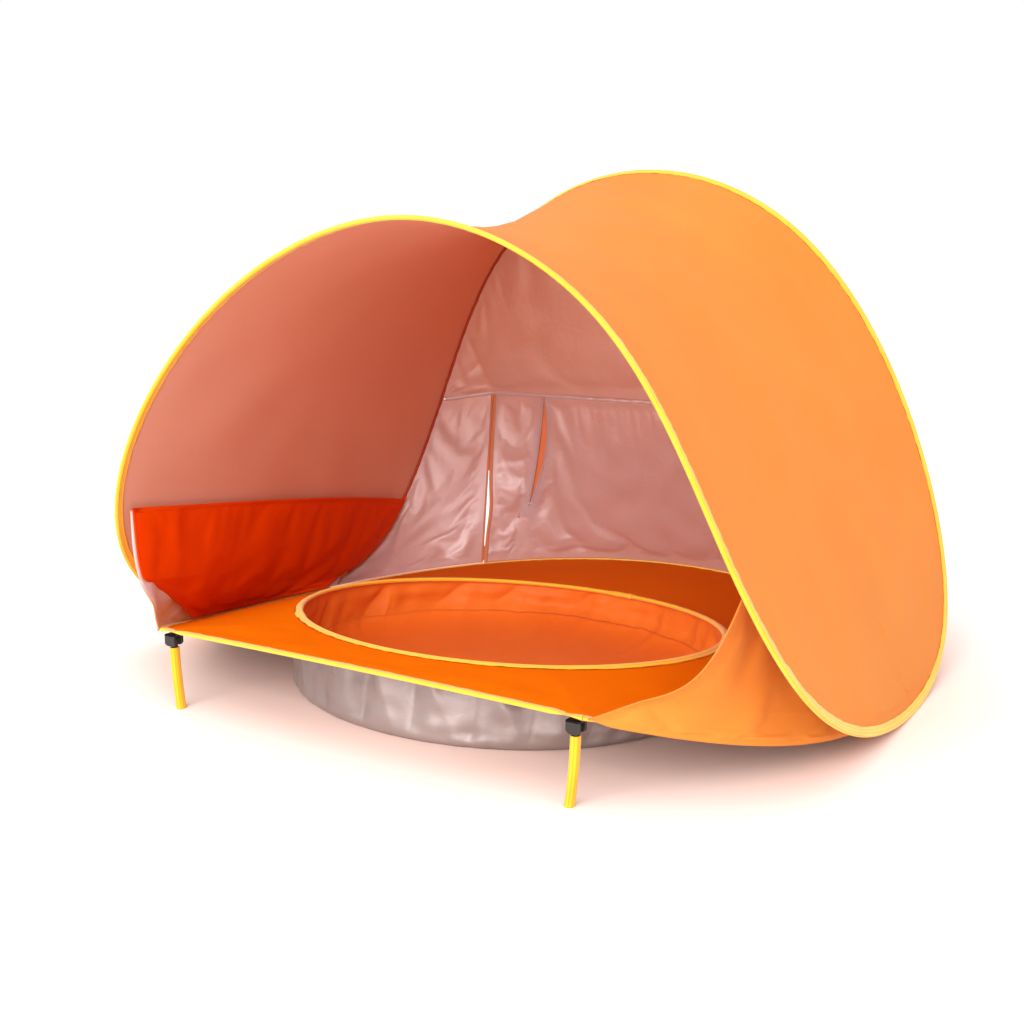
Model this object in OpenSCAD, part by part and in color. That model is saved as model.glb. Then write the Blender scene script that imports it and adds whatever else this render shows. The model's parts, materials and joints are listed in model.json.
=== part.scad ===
// Pop-up beach shelter with a hanging paddling pool.
// A closed spring-wire hoop is bent into a saddle: its front half is the entrance arch and its rear
// half is the back arch. A second loop holds the floor, and a third one the rim of the pool.
// Origin: on the ground, at the centre of the overall box. X right, Y to the back, Z up.

/* [Hoops] */
// Diameter of the spring-steel wire
wire_d = 3; // [2.4:0.1:3.2]
// Width of the folded binding tape
tape_w = 19; // [18:0.5:22]
// Outside diameter of the crimped wire joiners
ferrule_d = 4.2; // [4:0.1:4.3]
// Length of the crimped wire joiners
ferrule_len = 38; // [20:1:40]

/* [Canopy and walls] */
// Thickness of every cloth panel
cloth_t = 1.2; // [0.8:0.1:1.2]
// How far the roof dips between the two arches
roof_sag = 42; // [20:1:60]
// Height of the straight seam that the vent flap hangs from
seam_z = 377; // [350:1:390]
// Distance of that seam behind the centre
seam_y = 400; // [390:1:405]
// Half the width of the vent flap
flap_half_w = 366; // [340:1:368]
// How far the side pockets belly inwards
pocket_belly = 14; // [8:1:20]

/* [Base loop] */
// Half the width of the base loop
base_half_w = 551; // [540:1:552]
// Angle from the back of the base loop to its front corners
corner_angle = 141.6; // [140:0.1:143]

/* [Pool] */
// Half the width of the pool rim
pool_half_w = 342; // [320:1:345]
// Half the front-to-back size of the pool rim
pool_half_d = 297; // [280:1:300]
// Mean height of the pool rim
pool_rim_z = 94; // [90:1:100]
// Half the width of the pool's flat bottom
bottom_half_w = 313; // [290:1:320]
// Half the front-to-back size of the pool's flat bottom
bottom_half_d = 253; // [230:1:260]

/* [Legs] */
// Diameter of the leg's pivot pin
pin_d = 4; // [3.5:0.1:4.5]
// Diameter of the leg's core rod
rod_d = 5; // [4:0.5:6]
// Outside diameter of the leg's fabric sleeve
sleeve_d = 12.4; // [11:0.2:13]
// Height of the pivot pin above the ground
pivot_z = 101; // [98:1:102]
// How far the foot stands inside the pivot
foot_lean = 8; // [5:1:20]

/* [Hidden] */

// Colours
cloth_orange = [1.0, 0.62, 0.32];
pocket_orange = [0.88, 0.26, 0.05];
floor_orange = [0.95, 0.42, 0.10];
silver = [0.76, 0.68, 0.68];
tape_yellow = [1.0, 0.84, 0.25];
steel = [0.7, 0.7, 0.72];
black = [0.18, 0.15, 0.14];

// Control polygon of the saddle hoop's right half, from the front crown over the ground to the rear crown
hoop_polygon = [
    [0, -381, 739], [337, -408, 594], [499, -478, 312], [582, -352, 71], [581, 62, -20],
    [568, 329, 66], [470, 383, 397], [297, 311, 713], [0, 296, 819]
];
// Number of stations along each sweep
hoop_steps = 96;
arc_steps = 54;
front_steps = 18;
loop_steps = arc_steps + front_steps;
wire_sides = 8;

// Depths in a binding, measured inwards from its centre line
wire_depth = -6.2;
edge_depth = 1;
exit_depth = 11;
gap = 0.3;
tape_half = tape_w / 2;
// Half the thickness of the tape where it covers the wire, and of a panel seated on the tape
tape_bulge = 3.3;
seat = tape_bulge + 0.5 + cloth_t / 2;

// ---- small vector helpers ----
function lerp(a, b, u) = a + (b - a) * u;
function unit(v) = v / norm(v);
function across(v, axis) = v - axis * (v * axis);
function flip_x(p) = [-p[0], p[1], p[2]];
function pick(list, i) = list[(i + len(list)) % len(list)];

// ---- saddle hoop: a closed uniform cubic spline, t = 0 front crown, 4 ground, 8 rear crown ----
hoop_vertices = concat(hoop_polygon, [for (i = [7 : -1 : 1]) flip_x(hoop_polygon[i])]);
function spline(p, q, r, s, u) =
    (p * pow(1 - u, 3) + q * (3 * pow(u, 3) - 6 * u * u + 4)
    + r * (1 + 3 * u + 3 * u * u - 3 * pow(u, 3)) + s * pow(u, 3)) / 6;
function hoop(t) =
    let (i = floor(t), u = t - i)
    spline(pick(hoop_vertices, i - 1), pick(hoop_vertices, i), pick(hoop_vertices, i + 1),
        pick(hoop_vertices, i + 2), u);
function hoop_dir(t) = unit(hoop(t + 0.01) - hoop(t - 0.01));

// ---- canopy: each front point is joined to its rear twin by a parabola that dips inwards ----
// a = 0 on the ridge, 1 where the arches meet the ground
function front_at(a) = hoop(4 * a);
function rear_at(a) = hoop(8 - 4 * a);
function sag_dir(m) = unit([-m[0], 0, 250 - m[2]]);
function sag_point(a) =
    let (m = (front_at(a) + rear_at(a)) / 2)
    m + sag_dir(m) * 2 * roof_sag * pow(1 - a * a, 2);
function canopy_point(a, v) =
    front_at(a) * pow(1 - v, 2) + sag_point(a) * 2 * v * (1 - v) + rear_at(a) * v * v;

// Direction from the hoop into the canopy, and out of the shelter
function hoop_in_right(t) =
    let (a = t <= 4 ? t / 4 : (8 - t) / 4)
    unit(across(sag_point(min(a, 0.85)) - hoop(t), hoop_dir(t)));
function hoop_in(t) = t <= 8 ? hoop_in_right(t) : flip_x(hoop_in_right(16 - t));
function hoop_out(t) = unit(cross(hoop_dir(t), hoop_in(t)));
// A point on the inner side of the hoop's binding
function hoop_seat(t, depth, inside) = hoop(t) + hoop_in(t) * depth - hoop_out(t) * inside;

// ---- base loop: a cut ellipse whose front corners are lifted ----
function base(phi) = [
    base_half_w * sin(phi),
    -65 + 569 * cos(phi) + 11 * cos(2 * phi),
    66.5 - 55 * cos(phi) + 41 * cos(2 * phi) - 7 * cos(3 * phi)
];
corner = base(corner_angle);
function front_edge(u) = [corner[0] * u, corner[1] - 8 * (1 - u * u), corner[2] + 6 * (1 - u * u)];
function base_dir(phi) = unit(base(phi - 0.2) - base(phi + 0.2));

// ---- pool rim: an ellipse that falls a little towards the back ----
pool_y = -128.5;
pool_fall = 22;
function rim(theta) =
    [pool_half_w * cos(theta), pool_y + pool_half_d * sin(theta), pool_rim_z - pool_fall * sin(theta)];
// The rim angle that faces a point of the base loop
function facing(p) = atan2((p[1] - pool_y) / pool_half_d, p[0] / pool_half_w);
function base_in(phi) = unit(across(rim(facing(base(phi))) - base(phi), base_dir(phi)));
function base_up(phi) = unit(cross(base_dir(phi), base_in(phi)));
// A point above the base loop's binding
function base_seat(phi, depth) = base(phi) + base_in(phi) * depth + base_up(phi) * seat;

// ---- mitred corner shared by the rear arc and the front edge ----
arc_away = unit(base(corner_angle - 2) - corner);
front_away = unit(front_edge(0.95) - corner);
mitre_normal = unit(arc_away - front_away);
mitre_in = unit(across(rim(facing(corner)) - corner, mitre_normal));
mitre_scale = 1 / norm(cross(unit(arc_away + front_away), arc_away));
mitre_up = unit(cross(mitre_in, mitre_normal));

// ---- stations around the base loop: [point, inwards, up, depth scale, shift along the loop] ----
function mirrored(st) = [flip_x(st[0]), flip_x(st[1]), flip_x(st[2]), st[3], flip_x(st[4])];
arc_end = [corner, mitre_in, mitre_up, mitre_scale, arc_away * gap];
front_end = [corner, mitre_in, mitre_up, mitre_scale, front_away * gap];
// Near a corner the section turns gradually into the mitre
turning_steps = 4;
function turned(inwards, dir, k, steps) =
    let (share = max(0, 1 - min(k, steps - k) / turning_steps),
        at_mitre = inwards[0] > 0 ? flip_x(mitre_in) : mitre_in)
    unit(across(lerp(inwards, at_mitre, share), dir));
function station(p, inwards, dir) = [p, inwards, unit(cross(dir, inwards)), 1, [0, 0, 0]];
function arc_station(k) =
    let (phi = corner_angle * (1 - 2 * k / arc_steps))
    k == 0 ? arc_end : k == arc_steps ? mirrored(arc_end)
    : station(base(phi), turned(base_in(phi), base_dir(phi), k, arc_steps), base_dir(phi));
function front_station(k) =
    let (u = -1 + 2 * k / front_steps,
        p = front_edge(u),
        dir = unit(front_edge(u + 0.01) - front_edge(u - 0.01)),
        inwards = unit(across(rim(facing(p)) - p, dir)))
    k == 0 ? mirrored(front_end) : k == front_steps ? front_end
    : station(p, turned(inwards, dir, k, front_steps), dir);
arc_stations = [for (k = [0 : arc_steps]) arc_station(k)];
front_stations = [for (k = [0 : front_steps]) front_station(k)];
loop_stations = concat(
    [for (k = [0 : arc_steps]) arc_stations[k]],
    [for (k = [1 : front_steps - 1]) front_stations[k]]
);
// Stations around the pool rim, one for each station of the base loop, clockwise from above
function rim_station(k) =
    let (outer = loop_stations[k][0],
        theta = facing(outer),
        dir = unit(rim(theta - 0.2) - rim(theta + 0.2)),
        outwards = unit(across(outer - rim(theta), dir)))
    station(rim(theta), outwards, dir);
rim_stations = [for (k = [loop_steps - 1 : -1 : 0]) rim_station(k)];
hoop_stations = [
    for (i = [0 : hoop_steps - 1])
    let (t = 16 * i / hoop_steps)
    [hoop(t), hoop_in(t), hoop_out(t), 1, [0, 0, 0]]
];
function place(st, depth, height) = st[0] + st[1] * depth * st[3] + st[2] * height + st[4];

// ---- sections: x runs into the cloth, y away from its face ----
tape_profile = [
    [tape_half, 1.6], [-1.2, 1.7], [-5.6, tape_bulge], [-8.6, 2.4], [-tape_half, 1],
    [-tape_half, -1], [-8.6, -2.4], [-5.6, -tape_bulge], [-1.2, -1.7], [tape_half, -1.6],
    [tape_half, -0.9], [-1.5, -0.9], [-5.6, -2.6], [-8.4, -1.6],
    [-8.4, 1.6], [-5.6, 2.6], [-1.5, 0.9], [tape_half, 0.9]
];
function round_profile(r) = [
    for (i = [0 : wire_sides - 1])
    let (angle = 360 * (i + 0.5) / wire_sides)
    [wire_depth + r * cos(angle), r * sin(angle)]
];
function rings(stations, profile) = [for (st = stations) [for (p = profile) place(st, p[0], p[1])]];

// ---- solids from rings and grids of points ----
function strip(a, b, c, d) = [[a, b, c], [a, c, d]];
module sweep(rows, closed) {
    n = len(rows);
    m = len(rows[0]);
    last = closed ? n - 1 : n - 2;
    sides = [
        for (i = [0 : last], j = [0 : m - 1])
        let (k = (i + 1) % n, l = (j + 1) % m)
        each strip(i * m + j, k * m + j, k * m + l, i * m + l)
    ];
    ends = closed ? [] : [
        [for (j = [0 : m - 1]) j],
        [for (j = [m - 1 : -1 : 0]) (n - 1) * m + j]
    ];
    polyhedron([for (row = rows) each row], concat(sides, ends), convexity = 10);
}

// A tube between two pairs of rings, open along its bore
module sleeve(outer, inner) {
    m = len(outer[0]);
    walls = [
        for (j = [0 : m - 1])
        let (l = (j + 1) % m)
        each concat(
            strip(j, m + j, m + l, l),
            strip(2 * m + l, 3 * m + l, 3 * m + j, 2 * m + j),
            strip(l, 2 * m + l, 2 * m + j, j),
            strip(m + j, 3 * m + j, 3 * m + l, m + l)
        )
    ];
    polyhedron(concat(outer[0], outer[1], inner[0], inner[1]), walls, convexity = 10);
}

// A cloth panel: a grid of points thickened by cloth_t. wrap joins the last column to the first;
// weld folds each end column in half, so that both halves of the rim meet there.
module cloth(grid, wrap = false, weld = false) {
    rows = len(grid);
    cols = len(grid[0]);
    col_last = wrap ? cols - 1 : cols - 2;
    function at(i, j) = grid[i][wrap ? (j + cols) % cols : j];
    function lo(j) = wrap ? j - 1 : max(j - 1, 0);
    function hi(j) = wrap ? j + 1 : min(j + 1, cols - 1);
    function inner_col(j) = weld ? max(1, min(cols - 2, j)) : j;
    function normal(i, j) =
        let (c = inner_col(j))
        unit(cross(at(i, hi(c)) - at(i, lo(c)), at(min(i + 1, rows - 1), c) - at(max(i - 1, 0), c)));
    function id(i, j, side) =
        let (c = j % cols, folded = weld && (c == 0 || c == cols - 1) && i > (rows - 1) / 2)
        side * rows * cols + (folded ? rows - 1 - i : i) * cols + c;
    points = [
        for (side = [1, -1], i = [0 : rows - 1], j = [0 : cols - 1])
        grid[i][j] + normal(i, j) * side * cloth_t / 2
    ];
    faces = [
        for (i = [0 : rows - 2], j = [0 : col_last])
        each concat(
            strip(id(i, j, 0), id(i + 1, j, 0), id(i + 1, j + 1, 0), id(i, j + 1, 0)),
            strip(id(i, j, 1), id(i, j + 1, 1), id(i + 1, j + 1, 1), id(i + 1, j, 1))
        )
    ];
    row_rims = [
        for (j = [0 : col_last])
        each concat(
            strip(id(0, j, 0), id(0, j + 1, 0), id(0, j + 1, 1), id(0, j, 1)),
            strip(id(rows - 1, j + 1, 0), id(rows - 1, j, 0), id(rows - 1, j, 1), id(rows - 1, j + 1, 1))
        )
    ];
    col_rims = wrap || weld ? [] : [
        for (i = [0 : rows - 2])
        each concat(
            strip(id(i + 1, 0, 0), id(i, 0, 0), id(i, 0, 1), id(i + 1, 0, 1)),
            strip(id(i, cols - 1, 0), id(i + 1, cols - 1, 0), id(i + 1, cols - 1, 1), id(i, cols - 1, 1))
        )
    ];
    polyhedron(points, concat(faces, row_rims, col_rims), convexity = 10);
}

// A grid stretched between four edges: top and bottom run along u, left and right along v
function stretched(top, bottom, left, right) = [
    for (i = [0 : len(left) - 1])
    let (v = i / (len(left) - 1))
    [
        for (j = [0 : len(top) - 1])
        let (u = j / (len(top) - 1))
        lerp(top[j], bottom[j], v) + lerp(left[i], right[i], u)
        - lerp(lerp(top[0], top[len(top) - 1], u), lerp(bottom[0], bottom[len(top) - 1], u), v)
    ]
];
module mirror_left() {
    mirror([1, 0, 0]) children();
}

// ---- wires, joiners and bindings ----
// An open wire stops just short of the mitred corners
wire_stop = 0.7;
module wire(stations, closed) {
    all = rings(stations, round_profile(wire_d / 2));
    last = len(all) - 1;
    color(steel) sweep(closed ? all : concat(
        [lerp(all[0], all[1], wire_stop)],
        [for (k = [1 : last - 1]) all[k]],
        [lerp(all[last], all[last - 1], wire_stop)]
    ), closed);
}
module binding(stations, closed) {
    color(tape_yellow) sweep(rings(stations, tape_profile), closed);
}
// The joiner lies on the straight chord between two neighbouring stations, and never beyond its ends
ferrule_margin = 0.03;
module ferrule(st, next) {
    from = max(ferrule_margin, (1 - ferrule_len / norm(next[0] - st[0])) / 2);
    function ring(r, u) = [for (p = round_profile(r)) lerp(place(st, p[0], p[1]), place(next, p[0], p[1]), u)];
    outer = ferrule_d / 2;
    inner = wire_d / 2 + 0.15;
    color(steel) sleeve([ring(outer, from), ring(outer, 1 - from)], [ring(inner, from), ring(inner, 1 - from)]);
}

// ---- canopy ----
canopy_half_cols = 24;
canopy_spine = 0.7;
roof_rows = [0.25, 0.5, 0.75, 1];
tip_rows = [0.5, 0.67, 0.83, 1];
function canopy_station(a, i, rear) =
    let (t = rear ? 8 - 4 * a : 4 * a,
        r = i < 2 ? 0 : lerp(roof_rows[i - 2], tip_rows[i - 2], a * a),
        v = 0.5 * pow(r, 1 - pow(a, 4)),
        s = lerp(a, canopy_spine * a, r))
    i == 0 ? hoop_seat(t, edge_depth, 0) : i == 1 ? hoop_seat(t, exit_depth, 0)
    : canopy_point(s, rear ? 1 - v : v);
function canopy_row(i, rear) = [
    for (j = [-canopy_half_cols : canopy_half_cols])
    let (p = canopy_station(abs(j) / canopy_half_cols, i, rear))
    j < 0 ? flip_x(p) : p
];
module canopy() {
    color(cloth_orange)
    cloth(concat(
        [for (i = [0 : 5]) canopy_row(i, false)],
        [for (i = [4 : -1 : 0]) canopy_row(i, true)]
    ), weld = true);
}

// ---- back wall ----
// t on the rear arch where the seam meets it, and where the side panels end near the ground
seam_t = 5.9;
panel_end_t = 4.4;
slit_angle = 42;
panel_end_angle = 68;
slit_x = flap_half_w + 4;
seam_end = hoop_seat(seam_t, 2, seat);
function seam_at(x) =
    let (u = max(0, (abs(x) - slit_x) / (seam_end[0] - slit_x)))
    [x, lerp(seam_y, seam_end[1], u), lerp(seam_z, seam_end[2], u)];
module back_wall_upper() {
    columns = 16;
    reach = 0.99;
    top = [
        for (j = [-columns : columns])
        let (u = reach * abs(j) / columns, p = hoop_seat(8 - (8 - seam_t) * u, 2, seat))
        j < 0 ? flip_x(p) : p
    ];
    low = [for (j = [-columns : columns]) seam_at(seam_end[0] * reach * j / columns) + [0, 0, 2]];
    color(silver) cloth([for (v = [0, 0.25, 0.5, 0.75, 1]) [for (j = [0 : 2 * columns]) lerp(top[j], low[j], v)]]);
}
module back_seam_tape() {
    tape_len = 2 * slit_x;
    color(silver) translate([-tape_len / 2, seam_y - 6.4, seam_z - 6]) cube([tape_len, 1, 18]);
}
side_rows = 12;
side_cols = 8;
turn = 0.75;
function panel_right_edge(v) =
    let (last = hoop_seat(panel_end_t, 2, seat))
    v <= turn ? hoop_seat(lerp(seam_t, panel_end_t, v / turn), 2, seat)
    : lerp(last, base_seat(panel_end_angle, 0), (v - turn) / (1 - turn));
module back_wall_right() {
    slit_low = base_seat(slit_angle, 0);
    color(silver) cloth(stretched(
        [for (j = [0 : side_cols]) seam_at(lerp(slit_x, seam_end[0], j / side_cols))],
        [for (j = [0 : side_cols]) base_seat(lerp(slit_angle, panel_end_angle, j / side_cols), 0)],
        [for (i = [0 : side_rows]) lerp(seam_at(slit_x), slit_low, i / side_rows)],
        [for (i = [0 : side_rows]) panel_right_edge(i / side_rows)]
    ));
}
module vent_flap() {
    columns = 24;
    edge_angle = slit_angle - 0.6;
    top = [for (j = [0 : columns]) [flap_half_w * (2 * j / columns - 1), seam_y, seam_z - 3]];
    low = [for (j = [0 : columns]) base_seat(edge_angle * (2 * j / columns - 1), 0) + [0, 0, 3]];
    color(silver) cloth([for (v = [0, 0.25, 0.5, 0.75, 1]) [for (j = [0 : columns]) lerp(top[j], low[j], v)]]);
}

// ---- side skirts and pockets ----
skirt_front_t = 2.2;
skirt_rear_t = 5.25;
skirt_low_t = 4.4;
skirt_rear_angle = 73;
skirt_front_angle = corner_angle - 2;
skirt_inside = 5.5;
canopy_clear = 14;
free_edge_upper = [464, -462, 130];
free_edge_lower = [430, -457, 152];
function bezier(p, q, r, s, w) =
    p * pow(1 - w, 3) + q * 3 * w * pow(1 - w, 2) + r * 3 * w * w * (1 - w) + s * pow(w, 3);
function free_edge(w) = bezier(hoop_seat(skirt_front_t, canopy_clear, skirt_inside), free_edge_upper,
    free_edge_lower, base_seat(skirt_front_angle, 0), w);
// A line across the inside of the canopy, from the front arch to the rear arch
function inner_line(u, depth, inside) =
    let (first = hoop_seat(skirt_front_t, depth, inside),
        last = hoop_seat(skirt_rear_t, depth, inside),
        a = lerp(skirt_front_t / 4, (8 - skirt_rear_t) / 4, u),
        v = lerp(0.04, 0.96, u),
        p = canopy_point(a, v),
        along = canopy_point(a + 0.01, v) - p,
        over = canopy_point(a, v + 0.01) - p)
    u == 0 ? first : u == 1 ? last : p + unit(cross(over, along)) * (cross(over, along)[0] < 0 ? 1 : -1) * inside;
function rear_edge(v, depth, inside, angle) =
    v <= turn ? hoop_seat(lerp(skirt_rear_t, skirt_low_t, v / turn), depth, inside)
    : lerp(hoop_seat(skirt_low_t, depth, inside), base_seat(angle, depth - canopy_clear), (v - turn) / (1 - turn));
// Keeps a side panel inside the canopy where both come down to the ground
function kept_inside(grid, margin) = [
    for (row = grid)
    [for (p = row) [min(p[0], 566 - margin - 0.22 * max(0, p[2] - 20)), p[1], p[2]]]
];
module skirt_right() {
    columns = 16;
    color(cloth_orange) cloth(kept_inside(stretched(
        [for (j = [0 : columns]) inner_line(j / columns, canopy_clear, skirt_inside)],
        [for (j = [0 : columns]) base_seat(lerp(skirt_front_angle, skirt_rear_angle, j / columns), 0)],
        [for (i = [0 : side_rows]) free_edge(i / side_rows)],
        [for (i = [0 : side_rows]) rear_edge(i / side_rows, canopy_clear, skirt_inside, skirt_rear_angle)]
    ), 6));
}
pocket_depth = canopy_clear + 6;
pocket_inside = 13;
pocket_front_angle = 116;
pocket_rear_angle = 76;
pocket_knee = 0.42;
pocket_shift = [-9, 3, 3];
function pocket_front(v) =
    let (half = 0.6, w = max(0, (v - half) / (1 - half)), knee = free_edge(pocket_knee) + pocket_shift)
    v <= half ? lerp(hoop_seat(skirt_front_t, pocket_depth, pocket_inside),
        free_edge(pocket_knee * v / half) + pocket_shift, min(1, 3 * v))
    : lerp(knee, base_seat(pocket_front_angle, 8), w) + pocket_shift * sin(180 * w);
module pocket_right() {
    columns = 16;
    flat_grid = kept_inside(stretched(
        [for (j = [0 : columns]) inner_line(j / columns, pocket_depth, pocket_inside)],
        [for (j = [0 : columns]) base_seat(lerp(pocket_front_angle, pocket_rear_angle, j / columns), 8)],
        [for (i = [0 : side_rows]) pocket_front(i / side_rows)],
        [for (i = [0 : side_rows]) rear_edge(i / side_rows, pocket_depth, pocket_inside, pocket_rear_angle)]
    ), 13);
    color(pocket_orange) cloth([
        for (i = [0 : side_rows])
        [
            for (j = [0 : columns])
            flat_grid[i][j] + [-1, 0, 0.1] * pocket_belly * sin(180 * j / columns) * sin(20 + 160 * i / side_rows)
        ]
    ]);
}

// ---- floor and pool ----
module floor_panel() {
    function outer(k) = loop_stations[k];
    function inner(k) = rim_stations[loop_steps - 1 - k];
    function on_line(k, u) = lerp(place(outer(k), exit_depth, 0), place(inner(k), exit_depth, 0), u);
    columns = [0 : loop_steps - 1];
    color(floor_orange) cloth([
        [for (k = columns) place(outer(k), edge_depth, 0)],
        [for (k = columns) on_line(k, 0)],
        [for (k = columns) on_line(k, 0.33)],
        [for (k = columns) on_line(k, 0.67)],
        [for (k = columns) on_line(k, 1)],
        [for (k = columns) place(inner(k), edge_depth, 0)]
    ], wrap = true);
}
pool_columns = 72;
bottom_y = -177;
function oval(half_w, half_d, y, z, k) =
    [half_w * cos(360 * k / pool_columns), y + half_d * sin(360 * k / pool_columns), z];
// Depth below the rim as a share, with the bulge of the bag at that depth
wall_shape = [[0, -4], [0.25, 6], [0.5, 11], [0.72, 9], [0.9, 2], [1, 0]];
module pool_wall() {
    function level(k, drop, bulge) =
        let (theta = 360 * k / pool_columns, top = rim(theta) - [0, 0, seat + 0.5],
            low = oval(bottom_half_w + 1.2, bottom_half_d + 1.2, bottom_y, cloth_t / 2, k),
            inset = pow(drop, 3))
        [lerp(top[0], low[0], inset), lerp(top[1], low[1], inset), lerp(top[2], low[2], drop)]
        + [cos(theta), sin(theta), 0] * bulge;
    color(silver) cloth([for (row = wall_shape) [for (k = [0 : pool_columns - 1]) level(k, row[0], row[1])]],
        wrap = true);
}
module pool_bottom() {
    outline = [
        for (k = [0 : pool_columns - 1])
        let (p = oval(bottom_half_w, bottom_half_d, bottom_y, 0, k))
        [p[0], p[1]]
    ];
    color(silver) linear_extrude(cloth_t) polygon(outline);
}

// ---- legs: a black clevis under each front corner, and a rod in a sleeve that folds inwards ----
ear_t = 3;
knuckle_w = 9;
ear_gap = knuckle_w / 2 + gap;
ear_half_w = 9;
ear_drop = 7;
chamfer = 4;
knuckle_r = 6;
sleeve_start = 10.5;
pivot_inset = 11;
pivot_x = corner[0] - pivot_inset;
pivot_y = corner[1] + 3;
bracket_top = corner[2] - 5.4;
leg_angle = atan(foot_lean / pivot_z);
running = 0.05;
sleeve_clear = 0.1;
module at_pivot() {
    translate([pivot_x, pivot_y, pivot_z]) children();
}
module along_y(len) {
    rotate([90, 0, 0]) translate([0, 0, -len / 2]) children();
}
// The leg's own axis: down from the pivot, with the foot inside
module down_leg() {
    at_pivot() rotate([0, 180 + leg_angle, 0]) children();
}
module leg_bracket() {
    width = 2 * (ear_gap + ear_t);
    plate_half = 10;
    plate_t = 3;
    drop = bracket_top - pivot_z;
    ear = [
        [-ear_half_w, drop - plate_t], [-ear_half_w, chamfer - ear_drop], [chamfer - ear_half_w, -ear_drop],
        [ear_half_w - chamfer, -ear_drop], [ear_half_w, chamfer - ear_drop], [ear_half_w, drop - plate_t]
    ];
    color(black) at_pivot() difference() {
        union() {
            translate([-plate_half, -width / 2, drop - plate_t]) cube([2 * plate_half, width, plate_t]);
            for (side = [-1, 1]) translate([0, side * (ear_gap + ear_t / 2), 0])
                along_y(ear_t) linear_extrude(ear_t) polygon(ear);
        }
        along_y(2 * width) cylinder(h = 2 * width, r = pin_d / 2 + 0.01, $fn = 48);
    }
}
module leg_pin() {
    pin_len = 2 * (ear_gap + ear_t);
    head_t = 1.2;
    color(steel) at_pivot() {
        along_y(pin_len) cylinder(h = pin_len, r = pin_d / 2, $fn = 48);
        for (side = [-1, 1]) translate([0, side * (pin_len / 2 + head_t / 2 + 0.02), 0])
            along_y(head_t + 0.04) cylinder(h = head_t + 0.04, r = pin_d / 2 + 1.2, $fn = 48);
    }
}
socket_len = 20;
module leg_knuckle() {
    color(black) difference() {
        union() {
            at_pivot() along_y(knuckle_w) cylinder(h = knuckle_w, r = knuckle_r, $fn = 48);
            down_leg() cylinder(h = socket_len, r = knuckle_w / 2, $fn = 48);
        }
        at_pivot() along_y(2 * knuckle_w) cylinder(h = 2 * knuckle_w, r = pin_d / 2 + running, $fn = 48);
        down_leg() translate([0, 0, knuckle_r + 2]) cylinder(h = socket_len, r = rod_d / 2 + 0.01, $fn = 48);
    }
}
leg_len = pivot_z / cos(leg_angle);
rod_end = leg_len - 3.5;
module leg_rod() {
    color(steel) down_leg() translate([0, 0, knuckle_r + 2.1])
        cylinder(h = rod_end - knuckle_r - 2.1, r = rod_d / 2, $fn = 48);
}
// The sleeve is cut level with the ground
module leg_sleeve() {
    color(tape_yellow) difference() {
        down_leg() translate([0, 0, sleeve_start]) cylinder(h = leg_len, r = sleeve_d / 2, $fn = 48);
        down_leg() cylinder(h = socket_len + 0.2, r = knuckle_w / 2 + sleeve_clear, $fn = 48);
        down_leg() cylinder(h = rod_end + 0.1, r = rod_d / 2 + sleeve_clear, $fn = 48);
        translate([pivot_x - 100, pivot_y - 50, -50]) cube([200, 100, 50]);
    }
}

wire(hoop_stations, true);  // canopy_hoop_wire
ferrule(hoop_stations[46], hoop_stations[47]);  // canopy_hoop_ferrule
binding(hoop_stations, true);  // canopy_hoop_binding
wire(arc_stations, false);  // base_rear_wire
wire(front_stations, false);  // base_front_wire
binding(arc_stations, false);  // base_rear_binding
binding(front_stations, false);  // base_front_binding
wire(rim_stations, true);  // pool_ring_wire
ferrule(rim_stations[46], rim_stations[47]);  // pool_ring_ferrule
binding(rim_stations, true);  // pool_ring_binding
canopy();
back_wall_upper();
back_seam_tape();
mirror_left() back_wall_right();  // back_wall_left
back_wall_right();
vent_flap();
mirror_left() skirt_right();  // skirt_left
skirt_right();
mirror_left() pocket_right();  // pocket_left
pocket_right();
floor_panel();
pool_wall();
pool_bottom();
mirror_left() leg_bracket();  // leg_bracket_left
mirror_left() leg_pin();  // leg_pin_left
mirror_left() leg_knuckle();  // leg_knuckle_left
mirror_left() leg_rod();  // leg_rod_left
mirror_left() leg_sleeve();  // leg_sleeve_left
leg_bracket();  // leg_bracket_right
leg_pin();  // leg_pin_right
leg_knuckle();  // leg_knuckle_right
leg_rod();  // leg_rod_right
leg_sleeve();  // leg_sleeve_right
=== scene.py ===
"""Looks of the pop-up beach shelter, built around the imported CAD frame."""
import json
import math

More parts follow.
